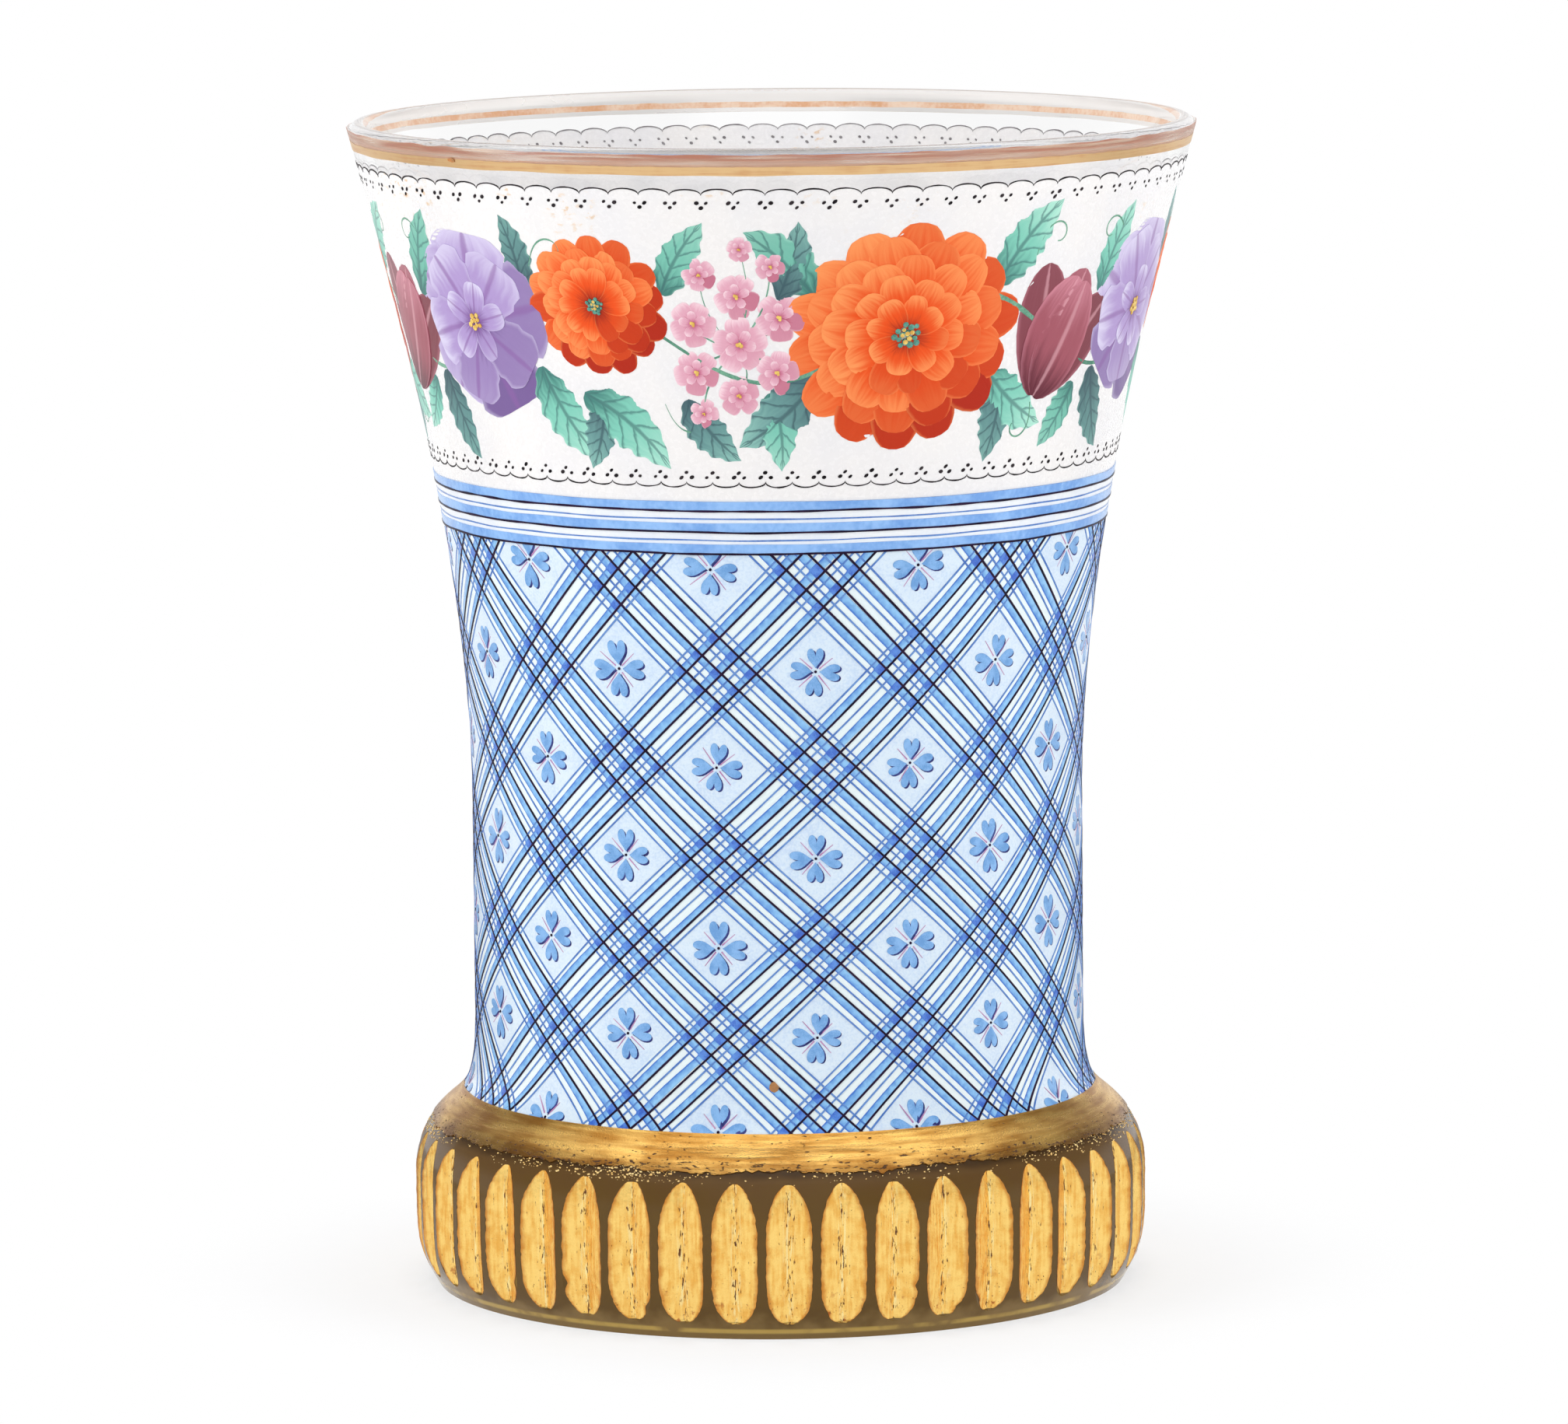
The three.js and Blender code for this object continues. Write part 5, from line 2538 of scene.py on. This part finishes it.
    def _tendril(self, angle: float, height: float, turn: float, reach: float, way: float) -> None:
        """Paints a thin shoot that ends in a curl.

        Args:
            angle: The angle of its root.
            height: The height of its root.
            turn: Its way, in degrees clockwise from up.
            reach: Its length.
            way: 1 where it curls clockwise, or -1.
        """
        steps = 24
        bend = np.radians(turn) + way * 4.6 * np.linspace(0.0, 1.0, steps + 1) ** 2.2
        step = reach / steps
        x, y = np.cumsum(np.sin(bend)) * step, np.cumsum(np.cos(bend)) * step
        around = angle + np.degrees(x / float(FORM.radius(height)))
        self._stem(around, height + y, 0.26, -0.3)

    def _foliage(self, start: float) -> None:
        """Paints the leaves of one repeat, between and behind its blossoms.

        Args:
            start: The angle that the repeat starts from.
        """
        sprays = (
            (14.5, 4.5, 28.0, 10.5, 5.2, 0.5, 0), (13.5, -3.5, 140.0, 10.5, 5.0, -0.5, 0),
            (-13.5, 4.0, -30.0, 9.5, 4.8, -0.4, 0), (-13.5, -3.5, -140.0, 10.5, 5.2, 0.5, 1),
            (17.0, -4.5, 170.0, 8.5, 4.2, 0.4, 1), (36.5, 3.0, 14.0, 9.8, 4.6, 0.4, 0),
            (38.5, -4.0, 165.0, 9.5, 4.6, -0.4, 1), (34.0, -5.5, 205.0, 7.5, 3.8, 0.4, 0),
            (61.5, 4.5, 4.0, 7.5, 3.6, -0.4, 1), (62.0, -3.0, 165.0, 10.5, 5.0, -0.5, 0),
            (69.5, -5.5, 110.0, 11.5, 5.2, 0.6, 0), (73.0, -6.0, 190.0, 7.0, 3.6, 0.4, 1),
            (84.0, 4.0, 22.0, 8.5, 4.0, 0.4, 0), (86.5, -5.5, 150.0, 8.0, 4.0, -0.5, 1),
            (101.0, 3.5, 30.0, 8.0, 3.8, -0.4, 1), (100.0, -5.0, 160.0, 8.0, 4.0, 0.4, 0),
        )
        for offset, up, turn, length, width, curl, finish in sprays:
            angle = start + self.hand.near(offset, 0.5)
            self._leaf(
                angle, self.middle + self.hand.near(up, 0.4), self.hand.near(turn, 6.0),
                length, width, curl, finish,
            )
        for offset, up, turn, reach, way in (
            (20.5, 7.0, 10.0, 7.5, 1.0), (40.5, 8.0, -30.0, 7.0, -1.0), (63.0, 6.5, 20.0, 7.5, 1.0),
            (83.0, -6.0, 160.0, 7.5, -1.0), (24.0, -7.0, 170.0, 6.5, 1.0),
        ):
            self._tendril(start + offset, self.middle + up, turn, reach, way)


@dataclass
class Frieze:
    """The white ground under the lip, its two lace borders and the garland between them."""

    hand: Hand

    def make(self) -> Iterator[Object]:
        """Makes the ground, the lace and the garland.

        Returns:
            The pieces, one by one.
        """
        node = "frieze_enamel"
        low, _ = band(node)
        upper = Lace(self.hand, 112.15, 111.6, 110.82, 110.34, 3.4)
        lower = Lace(self.hand, 82.98, 83.45, 83.94, 84.44, 2.9)
        columns = upper.scallops * 8
        skin = Skin(low - 0.05, upper.cusp, columns=columns)
        edges = 0.0, upper.edge(full_turn(columns)) - upper.cusp
        yield skin.make("frieze_ground", [FriezeWhite()], "white_enamel", [node], edges)
        lace = Build()
        upper.lay(lace)
        lower.lay(lace)
        yield lace.make("frieze_lace", [LACE_BLACK, LACE_BEHIND], "white_enamel")
        yield from Garland(self.hand).make()


# Studio

BACKGROUND_RAYS = ("Camera", "Glossy", "Transmission")


@dataclass(frozen=True)
class Viewpoint:
    """Where the photograph was taken from, in millimetres and degrees."""

    across: float = 0.74
    back: float = 953.6
    up: float = 185.6
    pitch: float = 7.70
    roll: float = -0.504
    lens: float = 221.8
    sensor: float = 36.0

    def make(self) -> None:
        """Puts the camera there."""
        data = bpy.data.cameras.new("camera")
        data.sensor_width, data.lens = self.sensor, self.lens
        data.clip_start, data.clip_end = 0.05, 50.0
        camera = linked(data)
        tilt = Matrix.Rotation(math.radians(90.0 - self.pitch), 4, "X")
        roll = Matrix.Rotation(math.radians(self.roll), 4, "Z")
        place = Matrix.Translation((self.across * MM, -self.back * MM, self.up * MM))
        camera.matrix_world = place @ tilt @ roll
        bpy.context.scene.camera = camera


@dataclass(frozen=True)
class Lamp:
    """One soft box: where it stands, how large and how strong it is."""

    name: str
    place: Triple
    size: Pair
    power: float

    def make(self) -> None:
        """Puts the lamp in place, turned to the middle of the beaker."""
        data = bpy.data.lights.new(self.name, "AREA")
        data.shape, data.energy = "RECTANGLE", self.power
        data.size, data.size_y = self.size
        lamp = linked(data)
        lamp.visible_transmission = lamp.visible_glossy = False
        place = Matrix.Translation(self.place).to_translation()
        aim = (CAD_BOX[0] + CAD_BOX[1]) / 2 - place
        lamp.location = place
        lamp.rotation_mode = "QUATERNION"
        lamp.rotation_quaternion = aim.to_track_quat("-Z", "Y")


@dataclass(frozen=True)
class PaperWhite(Finish):
    """The white paper that the beaker stands on. It keeps a soft shadow, deepened by painted shadow
    near the foot.
    """

    name: str = "paper_white"
    tones: tuple[Linear, Linear] = (grey(0.86), grey(0.9))
    touching: float = 0.5
    close: float = 0.2
    near: Pair = (34.0, 39.5)
    far: Pair = (42.0, 70.0)
    behind: float = 0.6

    def dress(self, bench: Bench) -> Tone:
        """Lets the paper glow, but for the part behind the beaker that the gilding mirrors.

        Args:
            bench: Its node tree.

        Returns:
            Its shader.
        """
        grain = bench.noise(0.4, 2.0)
        tone = bench.blend(grain, self.tones[0], self.tones[1])
        paper = bench.node("ShaderNodeBsdfDiffuse", None, {0: tone})
        light = bench.light("Emission", 1.0)
        place = bench.millimetres()
        away = bench.vector_maths("LENGTH", {0: place}, "Value")
        rest = 1.0 - self.touching - self.close
        # Painted shadow: the paper glows less the nearer it lies to the foot, so it darkens round
        # the base even where no shadow falls, and the traced shadow shows more there.
        glow = self.touching + away.rise(*self.near) * self.close + away.rise(*self.far) * rest
        seen = bench.mixed(bench.ray(*BACKGROUND_RAYS) * glow, paper, light)
        unlit = bench.light("Emission", 0.0, grey(0.0))
        back = bench.axis(place, 1).rise(0.0, 60.0) * away.rise(420.0, 260.0) * self.behind
        return bench.mixed(bench.ray("Glossy") * back, seen, unlit)


@dataclass
class Studio:
    """White paper, a white surround and three soft boxes."""

    fill: float = 0.62
    paper_radius: float = 8.0
    paper_drop: float = 0.02
    paper_sides: int = 96
    front_dark: float = 0.2
    side_dark: float = 0.75
    over: float = 0.9

    def _world(self) -> None:
        """Lights the beaker from a white surround, with dark flags that show in its gloss."""
        world = bpy.data.worlds.new("surround")
        bpy.context.scene.world = world
        world.use_nodes = True
        bench = Bench(world.node_tree)
        glossy = bench.ray("Glossy")
        way = bench.node("ShaderNodeTexCoord", output="Generated")
        rise = bench.axis(way, 2)
        front = (bench.axis(way, 1) * -1.0).rise(0.15, 0.95) * self.front_dark
        flags = rise.rise(0.12, 0.35) * rise.rise(0.85, 0.6) * self.side_dark
        flags = flags * abs(bench.axis(way, 0)).rise(0.2, 0.5)
        over = rise.rise(0.75, 0.97) * self.over
        white = 1.0 + glossy * (over - front.most(flags))
        seen, fill = bench.light("Background", white), bench.light("Background", self.fill)
        both = bench.mixed(bench.ray(*BACKGROUND_RAYS), fill, seen)
        bench.close(both, "ShaderNodeOutputWorld")

    def _paper(self) -> None:
        """Lays the round sheet of paper, a hair's breadth under the beaker."""
        rings = np.linspace(0.05, 1.0, 12) ** 2 * self.paper_radius
        corners, level = circle(self.paper_sides), -self.paper_drop * MM
        points = [(*(corner * radius), level) for radius in rings for corner in corners]
        index = np.arange(len(points)).reshape(len(rings), len(corners))
        index = np.concatenate([index, index[:, :1]], 1)
        mesh = bpy.data.meshes.new("paper")
        mesh.from_pydata(points, [], [*grid_quads(index).tolist(), list(range(len(corners)))])
        mesh.materials.append(PaperWhite().material())
        linked(mesh)

    def make(self) -> None:
        """Sets up the whole studio."""
        self._world()
        self._paper()
        Lamp("left_box", (-0.75, -0.35, 0.5), (0.5, 0.8), 3.4).make()
        Lamp("right_box", (0.8, -0.3, 0.45), (0.5, 0.8), 2.8).make()
        Lamp("top_box", (0.0, 0.1, 1.0), (0.6, 0.6), 4.4).make()
        view = bpy.context.scene.view_settings
        view.view_transform = "Standard"
        Viewpoint().make()


def main() -> None:
    """Builds the beaker piece by piece, and then its studio."""
    logging.basicConfig(level=logging.INFO, format="%(name)s: %(message)s")
    flutes = Flutes()
    Studio().make()
    assemblies = (
        Glass(flutes),
        FluteGilding(flutes, Hand(11)),
        CollarGilding(Hand(12)),
        RimGilding(Hand(13)),
        Trellis(Hand(14)),
        Stripes(Hand(15)),
        Frieze(Hand(16)),
        StrayGilding(Hand(17)),
    )
    for assembly in assemblies:
        for piece in assembly.make():
            log.info("%s: %d faces", piece.name, len(piece.data.polygons))


if __name__ == "__main__":
    main()
